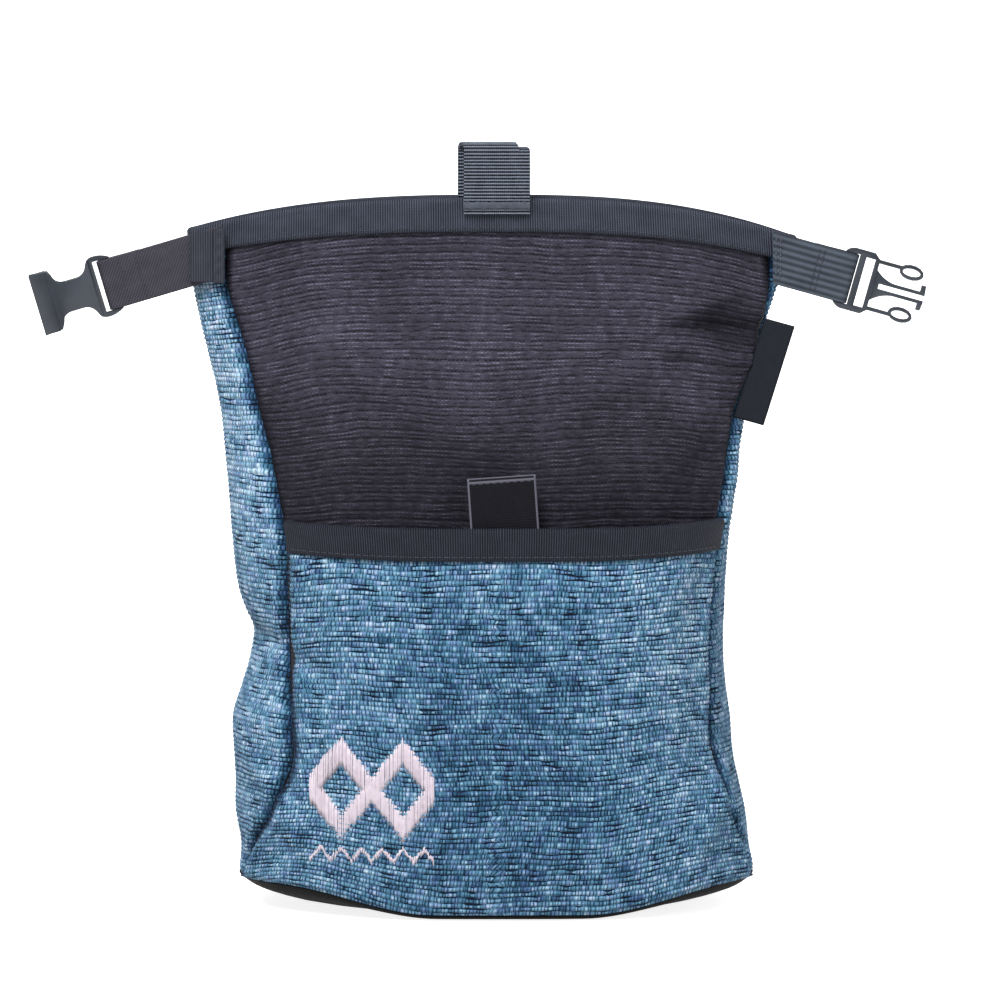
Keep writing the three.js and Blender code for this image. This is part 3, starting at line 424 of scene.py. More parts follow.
def chenille_material():
    """Runs, patches, nubs and fibre lighten the yarn, a painted highlight lies on the crowns of some nubs,
    and the panel's attribute adds painted light and shade. Painted shade darkens the pinches between
    nubs, the slits between ribs and the seam grooves. Noise places are mm along over its size, and ribs across."""
    material, tree, shader = new_material("heathered cotton chenille")
    along, ribs = cloth_place(tree)
    row = math.floor(ribs)
    shift = add(tree, "TexWhiteNoise", {"Vector": (row, 0.0, 0.0)}, "Value", **FLAT_NOISE)
    moved, rib = along + shift * CHENILLE_SHIFT, row * 3.7
    broken, wobble, runs, patches, fibre, lean = (
        add(tree, "TexNoise", {"Vector": (x, y, 0.0), "Scale": 1.0, "Detail": detail}, **FLAT_NOISE)
        for x, y, detail in (
            (moved / 8, rib, 4.0), (moved / 2, rib, 0.0), (moved / 6, rib, 2.0),
            (along / 15, ribs / 3, 4.0), (moved / 0.35, ribs * 5, 1.0), (moved / 4, rib, 2.0),
        )
    )
    cells = moved / NUB_LENGTH + wobble
    tight, nub = (
        add(tree, "TexWhiteNoise", {"Vector": (math.floor(cells), math.floor(y), 0.0)}, "Value", **FLAT_NOISE)
        for y in (ribs + 9, ribs)
    )
    from_gap, from_middle = 0.5 - abs(ribs % 1 - 0.5), abs(cells % 1 - 0.5)
    whole, pinch, crown, low, violet_share = (
        add(tree, "MapRange", {"Value": value, "From Min": start, "From Max": end}, **SOFT_STEP)
        for value, start, end in (
            (from_gap + 1.4 * broken, 0.56, 0.78), (from_middle, 0.2, 0.5), (from_gap, 0.12, 0.42),
            (from_middle, 0.08, 0.42), (lean, 0.42, 0.66),
        )
    )
    slit, pinch = 1 - whole, pinch * (0.2 + 0.8 * tight)
    painted_nub_highlight = crown * (1 - low) * nub**1.6
    seam, painted_shading = (add(tree, "Attribute", out="Fac", attribute_name=name) for name in ("seam", "painted_shading"))
    # Painted highlight on the crowns of some nubs, and painted light and shade from the panel's attribute
    lighter = 0.42 * runs + 0.48 * patches + 0.14 * nub + 0.2 * painted_nub_highlight + 0.3 * fibre + painted_shading
    # Painted shade in the pinches between nubs, the slits between ribs and the seam grooves
    tone = lighter - 0.06 - 0.46 * pinch - 0.66 * slit - 0.5 * seam
    teal, violet = (
        add(tree, "ValToRGB", {"Fac": tone}, stops=list(zip((0.0, 1.0, 0.22, 0.45, 0.7), colours)))
        for colours in (
            ("#05182b", "#c4ddee", "#133753", "#33617f", "#6b9cba"),
            ("#08172f", "#c9d8ed", "#193659", "#3b5d87", "#7498c0"),
        )
    )
    colour = add(tree, "Mix", {"Factor": violet_share, 6: teal, 7: violet}, 2, data_type="RGBA")
    height = 0.3 * nub + 0.4 * fibre - 0.8 * pinch - 0.9 * slit
    relief = add(tree, "Bump", {"Strength": 0.9, "Distance": 0.0005, "Height": height})
    connect(tree, shader, {"Base Color": colour, "Roughness": 0.9, "Specular IOR Level": 0.15,
                           "Sheen Weight": 0.06, "Sheen Roughness": 0.5, "Normal": relief})
    return material


chenille = chenille_material()
print(chenille.name, "nodes", len(chenille.node_tree.nodes))

# %% [markdown]
# ## Black corded cloth
#
# The upper front and the back are a corded weave: soft cords under a thin dark face, 3.4 mm
# apart. Thin painted highlights run along both sides of each cord, and the slits between cords get
# painted shade, broken into dots by the binding threads, 1.6 mm apart.

# %% Corded cloth
CORD_PITCH = 3.4
PICK_PITCH = 1.6
CORD_SHIFT = 40.0


def corded_material():
    """A painted highlight runs at 0.27 of the cord's pitch from the slit, on both sides of the cord. The
    slits get painted shade, dotted by the picks, and a faint crease down the cord's middle gets painted shade."""
    material, tree, shader = new_material("corded polyester weave")
    along, ribs = cloth_place(tree)
    row = math.floor(ribs)
    shift = add(tree, "TexWhiteNoise", {"Vector": (row, 0.0, 0.0)}, "Value", **FLAT_NOISE)
    moved, rib = along + shift * CORD_SHIFT, row * 5.1
    runs, gap_runs, low_runs, patches, streaks = (
        add(tree, "TexNoise", {"Vector": (x, y, 0.0), "Scale": 1.0, "Detail": detail}, **FLAT_NOISE)
        for x, y, detail in (
            (moved / 5, rib, 3.0), (moved / 4, rib + 40, 3.0), (moved / 6, rib + 80, 3.0),
            (along / 26, ribs / 7, 3.0), (moved / 3, ribs * 5, 2.0),
        )
    )
    picks = add(tree, "Math", {0: moved * (2 * math.pi / PICK_PITCH)}, operation="SINE")
    from_gap = 0.5 - abs(ribs % 1 - 0.5)
    off_cord_highlight, has_cord_highlight, off_slit, has_slit, at_top, has_crease = (
        add(tree, "MapRange", {"Value": value, "From Min": start, "From Max": end}, **SOFT_STEP)
        for value, start, end in (
            (abs(from_gap - 0.27), 0.02, 0.1), (runs, 0.35, 0.65), (from_gap, 0.03, 0.14),
            (gap_runs, 0.3, 0.62), (from_gap, 0.4, 0.5), (low_runs, 0.45, 0.7),
        )
    )
    # thread is a painted highlight along each side of a cord, and crease is painted shade down its middle
    thread, crease = (1 - off_cord_highlight) * has_cord_highlight, at_top * has_crease
    # dots: painted shade in the slits between cords, broken by the picks
    dots = (1 - off_slit) * has_slit * (0.6 + 0.4 * picks)
    seam, painted_shading = (add(tree, "Attribute", out="Fac", attribute_name=name) for name in ("seam", "painted_shading"))
    # The panel's attribute adds painted light and shade, and the seam grooves get painted shade
    lighter = 0.26 * thread + 0.34 * patches + 0.5 * streaks + 0.13 * picks * thread + painted_shading + 0.03
    tone = lighter - 0.7 * dots - 0.42 * crease - 0.25 * seam
    stops = [(0.0, "#0a0910"), (1.0, "#737186"), (0.3, "#24222c"), (0.6, "#403e4b")]
    colour = add(tree, "ValToRGB", {"Fac": tone}, stops=stops)
    height = 0.4 * thread + 0.5 * streaks - 0.5 * dots - 0.3 * crease
    relief = add(tree, "Bump", {"Strength": 0.6, "Distance": 0.0003, "Height": height})
    connect(tree, shader, {"Base Color": colour, "Roughness": 0.8, "Specular IOR Level": 0.15, "Normal": relief})
    return material


corded = corded_material()
print(corded.name, "nodes", len(corded.node_tree.nodes))

# %% [markdown]
# ## Tape, webbing and plain cloths
#
# Grosgrain binding has fine ribs across its length, 1 mm apart. Webbing is the same idea in a
# heavier yarn. Both are polyester, so they keep a slight sheen. The cloth inside the panels and
# the base are plain weaves, one thin and one coated.

# %% Woven strips
EDGE_STITCH = 1.5
WEBBING_PITCH = 1.3
TWILL_PITCH, TWILL_SLANT = 1.2, 0.7
CORD_LINE_PITCH = 2.6


def woven_material(name, dark, light, rib, yarn, roughness=0.7, depth=0.0003, slant=0.0, edge=None, gloss=0.2):
    """Ribs across the strip and yarn along it, each as (spacing in mm, weight). slant leans the
    ribs, as in twill. edge is (half the strip's width, colour, place along of a fold) for a paler
    selvedge, a painted highlight along the fold and a pale line of stitching EDGE_STITCH from the fold."""
    material, tree, shader = new_material(name)
    along, aside = cloth_place(tree)
    ribs, yarns = (
        add(tree, "Math", {0: place * (2 * math.pi / spacing)}, operation="SINE")
        for place, spacing in ((along + slant * aside, rib[0]), (aside, yarn[0]))
    )
    worn_place = (along / 9, aside / 5, 0.0)
    worn = add(tree, "TexNoise", {"Vector": worn_place, "Scale": 1.0, "Detail": 3.0}, **FLAT_NOISE)
    height = rib[1] * ribs + yarn[1] * yarns
    tone = 0.9 * height + 0.35 * worn + 0.26
    colour = add(tree, "ValToRGB", {"Fac": tone}, stops=[(0.0, dark), (1.0, light)])
    if edge:
        half, pale, fold = edge
        # Paler along the fold, a painted highlight, and along the line of stitching EDGE_STITCH from it
        from_fold = abs(along - fold)
        nearest = add(tree, "Math", {0: from_fold, 1: abs(from_fold - EDGE_STITCH)}, operation="MINIMUM")
        selvedge, off_line = (
            add(tree, "MapRange", {"Value": value, "From Min": start, "From Max": end}, **SOFT_STEP)
            for value, start, end in ((abs(aside), half - 0.9, half - 0.6), (nearest, 0.25, 0.6))
        )
        share = add(tree, "Math", {0: selvedge, 1: 1 - off_line}, operation="MAXIMUM")
        colour = add(tree, "Mix", {"Factor": share, 6: colour, 7: linear(pale)}, 2, data_type="RGBA")
    relief = add(tree, "Bump", {"Strength": 0.8, "Distance": depth, "Height": height})
    connect(tree, shader, {"Base Color": colour, "Roughness": roughness, "Specular IOR Level": gloss,
                           "Normal": relief})
    return material


tape = woven_material("polyester grosgrain tape", "#0e1117", "#565c6d", (0.95, 0.42), (0.9, 0.04),
                      depth=0.0005)
dark_tape = woven_material("darker grosgrain tape", "#05070c", "#363a49", (0.95, 0.58), (0.9, 0.04),
                           depth=0.0005)
root_cloth = woven_material("soft polyester tape", "#12141b", "#4d515f", (0.9, 0.06), (0.95, 0.3))
webbing = woven_material("ribbed polyester webbing", "#06080e", "#838c9c", (WEBBING_PITCH, 0.58), (0.8, 0.2),
                         depth=0.0004)
twill = woven_material("twill polyester webbing", "#1c1a21", "#56545f", (TWILL_PITCH, 0.22), (1.2, 0.04),
                       slant=TWILL_SLANT)
lengthwise = woven_material("lengthwise ribbed webbing", "#14181f", "#616b79", (0.7, 0.06),
                            (CORD_LINE_PITCH, 0.26))
label_cloth = woven_material("satin label tape", "#0a0d13", "#1d222c", (0.5, 0.3), (0.5, 0.15), 0.6, 0.0001,
                             gloss=0.12)
lining = woven_material("nylon lining", "#17181c", "#33353c", (0.6, 0.3), (0.6, 0.15), 0.5, 0.0001)
base_cloth = woven_material("coated oxford cloth", "#030304", "#0e0f12", (0.7, 0.3), (0.7, 0.3), 0.7, 0.0002,
                            gloss=0.06)
print("materials", len(bpy.data.materials))

# %% [markdown]
# ## Thread and plastic
#
# Sewing thread is bonded filament and the floss is rayon: a fine twist along each stitch and a
# soft gloss. The buckles are moulded acetal: an even colour, a satin gloss and the fine grain of
# a spark-eroded mould.

# %% Thread and plastic
THREAD_TWIST = 0.7


def thread_material(name, dark, light):
    """The twist is a sine of the length along the stitch and of the turn round it."""
    material, tree, shader = new_material(name)
    along, turn = cloth_place(tree)
    place = add(tree, "TexCoord", out="Object")
    patch = add(tree, "TexNoise", {"Vector": place, "Scale": 420.0, "Detail": 2.0})
    twist = add(tree, "Math", {0: along * (2 * math.pi / THREAD_TWIST) + turn * 2}, operation="SINE")
    tone = 0.8 * patch + 0.12 * twist + 0.15
    colour = add(tree, "ValToRGB", {"Fac": tone}, stops=[(0.0, dark), (1.0, light)])
    connect(tree, shader, {"Base Color": colour, "Roughness": 0.5, "Specular IOR Level": 0.4})
    return material


def plastic_material():
    """A slow cloud shifts the colour a little, and a fine grain gives the bump."""
    material, tree, shader = new_material("moulded acetal")
    place = add(tree, "TexCoord", out="Object")
    grain, cloud = (
        add(tree, "TexNoise", {"Vector": place, "Scale": scale, "Detail": 2.0}) for scale in (2600.0, 90.0)
    )
    relief = add(tree, "Bump", {"Strength": 0.25, "Distance": 0.0001, "Height": grain})
    colour = add(tree, "ValToRGB", {"Fac": cloud}, stops=[(0.3, "#20262e"), (0.75, "#303843")])
    connect(tree, shader, {"Base Color": colour, "Roughness": 0.36, "IOR": 1.48, "Normal": relief})
    return material


plastic = plastic_material()
sewing = thread_material("bonded polyester thread", "#20232b", "#4a505c")
pale_sewing = thread_material("pale polyester thread", "#3a414d", "#6d7583")
floss = thread_material("rayon embroidery floss", "#c9b9c6", "#f6ecf4")
print("materials", [m.name for m in bpy.data.materials])

# %% [markdown]
# ## Relief of the cloth
#
# The ribs are real relief on a fine grid, because they are wide enough to show at the outline.
# They wander a little, as woven ribs do, and at each seam the cloth rolls inwards into a groove,
# drawn up into small puckers by the thread.

# %% Random but repeatable lumps
def lumps(u, v, size_u, size_v, seed):
    """Smooth noise from -1 to 1: random heights on a lattice, blended by 3x² - 2x³ in each cell."""
    heights = np.random.default_rng(seed).uniform(-1, 1, (256, 256))
    x, y = u / size_u, v / size_v
    x0, y0 = np.floor(x).astype(int), np.floor(y).astype(int)
    fx, fy = smooth(x - x0), smooth(y - y0)
    at = lambda i, j: heights[(y0 + j) % 256, (x0 + i) % 256]
    low = at(0, 0) * (1 - fx) + at(1, 0) * fx
    high = at(0, 1) * (1 - fx) + at(1, 1) * fx
    return low * (1 - fy) + high * fy


def grid_normals(grid):
    """The outward direction at each place: the cross product of the grid's two directions."""
    normal = np.cross(np.gradient(grid, axis=1), np.gradient(grid, axis=0))
    return normal / np.linalg.norm(normal, axis=-1, keepdims=True)


PANEL_STEPS = 10, 8
SEAM_PULL = 3.5, 2.0


def cloth_panel(name, panel, shares, ups, outer_off, inner_off, taped, seed, pitch, relief, look, groove, painted_shading):
    """A panel with ribs every pitch mm. Its outer face is the body's formula at outer_off, plus
    ribs times relief, plus lumps and puckers, less a groove exp(-(distance/width)²) at a seam.
    Above taped it lies flat under the tape. Wide panels are pulled down a little at their seams."""
    grid, widths = panel_grid(panel, shares, ups, outer_off(shares[None, :], ups[:, None]))
    widths = widths[:, None]
    run = shares[None, :] * widths
    rise = ups[:, None] * PANEL_TOP + 0 * run
    to_seam = np.minimum(run, widths - run)
    wander = sum(lumps(run, rise, along, up, seed + extra) * size
                 for along, up, extra, size in ((46, 40, 5, 1.3), (26, 15, 0, 0.7), (8, 5, 1, 0.35)))
    pulls = zip(SEAM_PULL, (run, widths - run))
    dip = sum(pull * np.exp(-((away / 20) ** 2)) for pull, away in pulls)
    ribs = (rise + wander + dip * smooth((widths - 90) / 60)) / pitch
    crown = np.abs(np.sin(np.pi * (ribs % 1)))
    nubs = lumps(run + np.floor(ribs) * 17.3, np.floor(ribs) * 1.0, 1.7, 1.0, seed + 2)
    depth, width = groove
    roll = np.exp(-((to_seam / width) ** 2))
    pucker = lumps(run * 0 + to_seam * 0.15, rise, 3.0, 7.0, seed + 3) * np.exp(-to_seam / 9) * 0.8
    soft = lumps(run, rise, 38, 30, seed + 4) * 0.5
    lip = np.exp(-(((to_seam - 2.2 * width) / width) ** 2)) * 0.35 * depth
    free = 1 - smooth((ups[:, None] - taped) * PANEL_TOP / 1.5 + 1)
    raised = relief * (crown - 0.6) * (1 + 0.12 * nubs) + (pucker + soft) * (1 - roll) + lip
    lift = raised * free - depth * roll
    ends = smooth(np.minimum(ups, 1 - ups)[:, None] * PANEL_TOP / 2.5)
    normals = grid_normals(grid)
    outer = grid + normals * (lift * ends - (1 - ends) * 0.6)[..., None]
    step_r, step_c = PANEL_STEPS
    few_shares, few_ups = shares[::step_c], ups[::step_r]
    inner = panel_grid(panel, few_shares, few_ups, inner_off(few_shares[None, :], few_ups[:, None]))[0]
    sink = max(0.0, depth - 1.6) * roll[::step_r, ::step_c]
    inner = inner - normals[::step_r, ::step_c] * sink[..., None]
    faces = shell_faces(len(ups), len(shares), step_r, step_c)
    points = np.concatenate([outer.reshape(-1, 3), inner.reshape(-1, 3)])
    uv = np.stack([run - widths / 2, ribs], -1) / 100
    uvs = np.concatenate([uv.reshape(-1, 2), uv[::step_r, ::step_c].reshape(-1, 2)])
    inside = inner[..., 0].size
    # Kept attributes: the seam groove, for painted shade in it, and the panel's painted light and shade
    shade = painted_shading(shares[None, :], ups[:, None]) + 0 * run
    kept = {"seam": np.append(roll, np.ones(inside)), "painted_shading": np.append(shade, np.zeros(inside))}
    piece = make_piece(name, points, faces, uvs, (look, lining), (0, 1, 0, 0, 0, 0), (2, 3, 4, 5), kept)
    area = float((widths[:-1, 0] * np.diff(ups) * PANEL_TOP).sum())
    print(name, "triangles about", 2 * len(faces[0]) + 2 * len(faces[1]), "area cm2", round(area / 100, 1))
    return piece, area


def even(start, stop, pitch, multiple):
    """Evenly spaced values whose number of steps is a multiple, about pitch apart."""
    count = max(1, round((stop - start) / pitch / multiple)) * multiple
    return np.linspace(start, stop, count + 1)


def place(piece, node, slot):
    """The piece stands for its solid and rides on the bag. slot is not used."""
    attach(piece, "root")
    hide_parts(node)
    return piece


# %% The panels
def body_wall(share, up):
    """The outer face of a body panel lies a wall's thickness off the inner face."""
    return WALL + body_inside(share, up)


def body_inside(share, up):
    """Zero everywhere, in the shape of the grid."""
    return 0 * share * up


def black_painted_shade(share, up):
    """Darker low down, with a painted shadow round the tab and painted shade in the dent beside the right seam
    where the cloth is drawn in.
    """
    dent = np.exp(-(((share - 0.94) / 0.08) ** 2) - ((up - 0.842) / 0.034) ** 2)
    tab = np.exp(-(((share - 0.47) / 0.2) ** 2) - ((up - 0.56) / 0.09) ** 2)
    return 0.04 - 0.25 * smooth((0.79 - up) / 0.2) - 0.05 * tab - 0.34 * dent


def side_painted_light(share, up):
    """Painted light: the sides get paler towards the top."""
    return 0.09 + 0.09 * smooth((up - 0.3) / 0.4) + 0 * share


def pocket_painted_shading(share, up):
    """Painted shade in the middle, and painted light to the right and under the tape."""
    middle = np.exp(-(((share - 0.5) / 0.24) ** 4) - ((up / POCKET_UP - 0.42) / 0.42) ** 4)
    right = np.exp(-(((share - 0.85) / 0.15) ** 2) - ((up / POCKET_UP - 0.7) / 0.25) ** 2)
    return 0.05 - 0.12 * middle + 0.08 * right


RIB_STEP = 0.5 / PANEL_TOP
hidden = even(0, POCKET_TAPE_UP - 0.02, 6 / PANEL_TOP, 10)
front_ups = np.concatenate([hidden[:-1], even(POCKET_TAPE_UP - 0.02, 1, RIB_STEP, 10)])
full_ups = even(0, 1, RIB_STEP, 10)
BLACK = dict(pitch=CORD_PITCH, relief=0.42, look=corded, groove=(1.6, 1.8), painted_shading=black_painted_shade)
BLUE = dict(pitch=CHENILLE_PITCH, relief=0.6, look=chenille, groove=(2.2, 2.6), painted_shading=side_painted_light)
for name, panel, columns, ups, seed, cloth, node, slot, width in (
    ("front_cloth", "front", 168, front_ups, 11, BLACK, "front_panel", "black_rib", 0.245),
    ("back_cloth", "back", 120, full_ups, 21, BLACK, "back_panel", "black_rib", 0.25),
    ("side_cloth_left", "left", 64, full_ups, 31, BLUE, "side_panel_left", "blue_chenille", 0.11),
    ("side_cloth_right", "right", 64, full_ups, 41, BLUE, "side_panel_right", "blue_chenille", 0.11),
):
    shares = np.linspace(0, 1, columns + 1)
    piece, area = cloth_panel(name, panel, shares, ups, body_wall, body_inside, RIM_TAPE_UP, seed, **cloth)
    place(piece, node, slot)


# %% [markdown]
# ## The pocket
#
# The pocket is a second skin over the lower front, sewn into the same seams and standing off in
# the middle. Its off grows from the seams inwards as 1 - |2s - 1|^4.

# %% The pocket
def pocket_off(share, up):
    """Distance from the front panel's inner face to the pocket's inner face."""
    rise = up / POCKET_UP
    inward = 1 - np.abs(2 * share - 1) ** 4
    fold_room = (TAPE_THICKNESS + SEAM_GAP) * smooth((rise - 0.75) / 0.15)
    return OUTSIDE + fold_room + POCKET_BULGE * inward * smooth(rise / 0.9)


def pocket_face(share, up):
    """The pocket's outer face."""
    return pocket_off(share, up) + POCKET_WALL


POCKET_BLUE = BLUE | dict(groove=(3.1, 3.4), painted_shading=pocket_painted_shading)
pocket_ups = even(0, POCKET_UP, RIB_STEP, 10)
pocket_cloth, pocket_area = cloth_panel("pocket_cloth", "front", np.linspace(0, 1, 241), pocket_ups,
                                        pocket_face, pocket_off, POCKET_TAPE_UP, 51, **POCKET_BLUE)
place(pocket_cloth, "pocket_panel", "blue_chenille")

# %% [markdown]
# ## Binding tape
#
# Grosgrain tape is folded over each raw edge and sewn through. Its section is a hairpin: a leg
# on each face of the cloth and a round top. The hairpin is carried along the edge.

# %% Tape folded over an edge
def hairpin(low_up, top_up, near, far, legs=10, rounds=9):
    """The section as (up, off, lift) columns: up the outer leg, over a half ellipse, down the
    inner leg, and back along the inside, each skin SEAM_GAP and TAPE_THICKNESS off the cloth."""
    down = np.linspace(0, 1, legs)
    angle = np.linspace(0, math.pi, rounds)
    ups = low_up + (top_up - low_up) * down
    columns = []
    for skin, height, order in ((SEAM_GAP + TAPE_THICKNESS, TAPE_LIFT, 1), (SEAM_GAP, TAPE_ROOM, -1)):
        far_off, near_off = far(ups) + skin, near(ups) - skin
        middle, half = (far_off[-1] + near_off[-1]) / 2, (far_off[-1] - near_off[-1]) / 2
        outer = np.stack([ups, far_off, 0 * ups], -1)
        bend = np.stack([top_up + 0 * angle, middle + half * np.cos(angle), height * np.sin(angle)], -1)[1:-1]
        inner = np.stack([ups[::-1], near_off[::-1], 0 * ups], -1)
        columns.append(np.concatenate([outer, bend, inner])[::order])
    return np.concatenate(columns)


def folded_tape(name, lines, low_up, top_up, near, far, closed, look):
    """The hairpin at every line (panel, shares); near and far are the faces of what it binds. A
    closed tape runs all round, and any other has its two ends filled."""
    blocks = []
    for panel, shares in lines:
        section = np.stack([
            hairpin(low_up, top_up, lambda u: near(share, u), lambda u: far(share, u)) for share in shares
        ])
        ring = np.stack([
            body_point(panel_turns(panel, shares[None, :], np.array([up]))[0][0], up, section[:, k, 1])
            for k, up in enumerate(section[0, :, 0])
        ], 1)
        ring[..., 2] += section[..., 2]
        blocks.append(ring)
    rings = np.concatenate(blocks)
    stations, around = rings.shape[:2]
    run, across = run_lengths(rings[:, 0]), run_lengths(rings[0])
    faces = grid_faces(stations, around, wrap=True)
    last = (stations - 1) * around
    if closed:
        k = np.arange(around)
        k1 = (k + 1) % around
        parts = [np.concatenate([faces, np.stack([last + k, last + k1, k1, k], -1)])]
    else:
        k = np.arange(around // 2 - 1)
        end = np.stack([k, k + 1, around - 2 - k, around - 1 - k], -1)
        parts = [faces, end[:, ::-1], end + last]
    uvs = np.stack(np.meshgrid(run, across, indexing="ij"), -1).reshape(-1, 2) / 100
    print(name, "length", round(float(run[-1])), "mm, faces", len(faces))
    return make_piece(name, rings.reshape(-1, 3), parts, uvs, (look,), None, (1, 2))


POCKET_TAPE_ENDS = 0.02, 0.978
rim_lines = [(panel, np.linspace(0, 1, count + 1))
             for panel, count in (("front", 150), ("right", 24), ("back", 110), ("left", 24))]
rim_tape = folded_tape("rim_tape", rim_lines, RIM_TAPE_UP, 1.0, body_inside, body_wall, True, tape)
place(rim_tape, "rim_binding", "binding_tape")
pocket_lines = [("front", np.linspace(*POCKET_TAPE_ENDS, 151))]
pocket_tape = folded_tape("pocket_tape", pocket_lines, POCKET_TAPE_UP, POCKET_UP, pocket_off, pocket_face,
                          False, dark_tape)
place(pocket_tape, "pocket_binding", "binding_tape")

# %% [markdown]
# ## Webbing
#
# Every strap, loop and tab is a ribbon: a rounded rectangle carried along a path. Its face can
# carry relief, as a height over the length and the width, such as the ribs of the grab loop.

# %% Ribbons
def resample(path, step):
    """Points every step mm along a polyline."""
    path = np.asarray(path, float)
    runs = run_lengths(path)
    wanted = np.linspace(0, runs[-1], max(2, int(round(runs[-1] / step)) + 1))
    return np.stack([np.interp(wanted, runs, path[:, i]) for i in range(3)], -1), wanted


CUT_REACH = 18.0


def ribbon(name, path, across, width, thickness, look, relief=None, step=0.8, count=20, sag=None, cut=0.0):
    """Rounded rectangle width x thickness along path. The face normal is run x across; relief
    (along, aside in mm) lifts both faces and sag moves both; aside runs from -width/2 to width/2.
    cut slants the first end, by that many mm along for each mm aside."""
    middles, runs = resample(path, step)
    tangent = np.gradient(middles, axis=0)
    tangent /= np.linalg.norm(tangent, axis=1, keepdims=True)
    across = np.broadcast_to(np.asarray(across, float), middles.shape)
    face = np.cross(tangent, across)
    face /= np.linalg.norm(face, axis=1, keepdims=True)
    side = np.linspace(-1, 1, count + 1) * (1 - thickness * 0.3 / width)
    flat, edge = np.ones(count + 1), np.array([0.25, -0.25])
    ring_w = np.concatenate([side, [1, 1], side[::-1], [-1, -1]]) * width / 2
    ring_t = np.concatenate([flat, edge, -flat, -edge]) * thickness / 2
    sign = np.concatenate([flat, [0, 0], -flat, [0, 0]])
    ring = len(ring_w)
    lift = np.zeros((len(runs), ring))
    if relief is not None:
        lift += relief(runs[:, None], ring_w[None, :]) * sign
    if sag is not None:
        lift += sag(runs[:, None], ring_w[None, :])
    slanted = cut * (1 - smooth(runs / CUT_REACH))[:, None] * ring_w[None, :]
    points = middles[:, None] + tangent[:, None] * slanted[..., None]
    points = points + across[:, None] * ring_w[None, :, None] + face[:, None] * (ring_t + lift)[..., None]
    faces = grid_faces(len(runs), ring, wrap=True)
    k = np.arange(count + 1)
    cap = np.stack([k, k + 1, (2 * count + 3 - k) % ring, (2 * count + 4 - k) % ring], -1)
    uvs = np.stack([np.repeat(runs, ring), np.tile(ring_w, len(runs))], -1) / 100
    parts = [faces, cap[:, ::-1], cap + (len(runs) - 1) * ring]
    return make_piece(name, points.reshape(-1, 3), parts, uvs, (look,), None, (1, 2))


# %% [markdown]
# ## The grab loop
#
# The loop is a strip of ribbed webbing, sewn to the front and back of the rim, that stands up in
# an arch. Its path lies in one plane across the rim, and the crown was creased a little askew.

# %% The grab loop
LOOP_WIDTH, LOOP_REACH, LOOP_LAP, LOOP_THICKNESS, LOOP_SKEW = 26.0, 22.0, 6.0, 1.2, -2.4


def front_share_at(x, up):
    """The share of the front panel's width at which its outer face lies at x."""
    shares = np.linspace(0, 1, 401)
    xs = panel_grid("front", shares, [up], WALL)[0][0, :, 0]
    return float(np.interp(x, xs, shares))


def front_place(share, up, off):
    """One place on the front panel."""
    return panel_grid("front", [share], [up], off)[0][0, 0]


loop_share = front_share_at(0, 1)
loop_skin = SEAM_GAP + TAPE_THICKNESS + SEAM_GAP + LOOP_THICKNESS / 2 + 0.15
leg_top, leg_low = (front_place(loop_share, up, WALL + loop_skin) for up in (1, RIM_TAPE_UP))
leg_back = front_place(loop_share, 1, -loop_skin)
slope = (leg_top[1] - leg_low[1]) / (leg_top[2] - leg_low[2])
gap, middle_y = (leg_back[1] - leg_top[1]) / 2, (leg_back[1] + leg_top[1]) / 2
crown_z = BAG_HEIGHT + LOOP_REACH - LOOP_THICKNESS / 2 - gap
bend = np.linspace(math.pi, 0, 25)
legs_z = BAG_HEIGHT + np.array([-LOOP_LAP, 0, LOOP_REACH / 2])
lean = np.array([slope * LOOP_LAP, 0, 0])
loop_y = np.concatenate([leg_top[1] - lean, middle_y + gap * np.cos(bend), (leg_back[1] + lean)[::-1]])
loop_z = np.concatenate([legs_z, crown_z + gap * np.sin(bend), legs_z[::-1]])
loop_path = line_of(LOOP_SKEW * smooth((loop_y - leg_top[1]) / (leg_back[1] - leg_top[1])), loop_y, loop_z)
loop_crown = run_lengths(loop_path)[15]


def loop_step(along, aside):
    """The fold sits 1.9 mm lower at its right end, where the loop was creased askew."""
    return 1.9 * smooth((aside - 8.4) / 0.7) * np.exp(-(((along - loop_crown) / 5.0) ** 4))


def cross_ribs(height, pitch):
    """Relief that is a sine of the place along the ribbon."""
    return lambda along, aside: height * np.sin(2 * np.pi * along / pitch)


top_loop = ribbon("grab_loop", loop_path, (1, 0, 0), LOOP_WIDTH, LOOP_THICKNESS, webbing,
                  cross_ribs(0.22, WEBBING_PITCH), 0.2, 52, loop_step)
place(top_loop, "top_loop", "webbing")

# %% [markdown]
# ## The pull tab
#
# The tab is a strip folded double and tucked behind the pocket's tape, turned by 4 degrees. Its
# pale selvedges, the stitching near the fold and a painted highlight along the fold are patterns
# on the strip's own lengths.

# %% The pull tab
TAB_WIDTH, TAB_REACH, TAB_TUCK, TAB_THICKNESS = 26.8, 21.5, 13.0, 2.4
TAB_SHIFT, TAB_TURN, TAB_PLY, TAB_HALF_GAP = 2.7, math.radians(4), 1.05, 0.62
tab_share = front_share_at(TAB_SHIFT, POCKET_UP)
behind = TAPE_THICKNESS + 2 * SEAM_GAP + TAB_THICKNESS / 2 + 0.4
tab_edge = front_place(tab_share, POCKET_UP, pocket_off(tab_share, POCKET_UP) - behind)
tab_foot = front_place(tab_share, POCKET_TAPE_UP, pocket_off(tab_share, POCKET_TAPE_UP) - behind)
tab_lean = (tab_edge[1] - tab_foot[1]) / (tab_edge[2] - tab_foot[2])
rises = np.array([-TAB_TUCK, 0, TAB_REACH * 0.5, TAB_REACH - 1.8])
tab_x = TAB_SHIFT - math.tan(TAB_TURN) * (rises - 6)
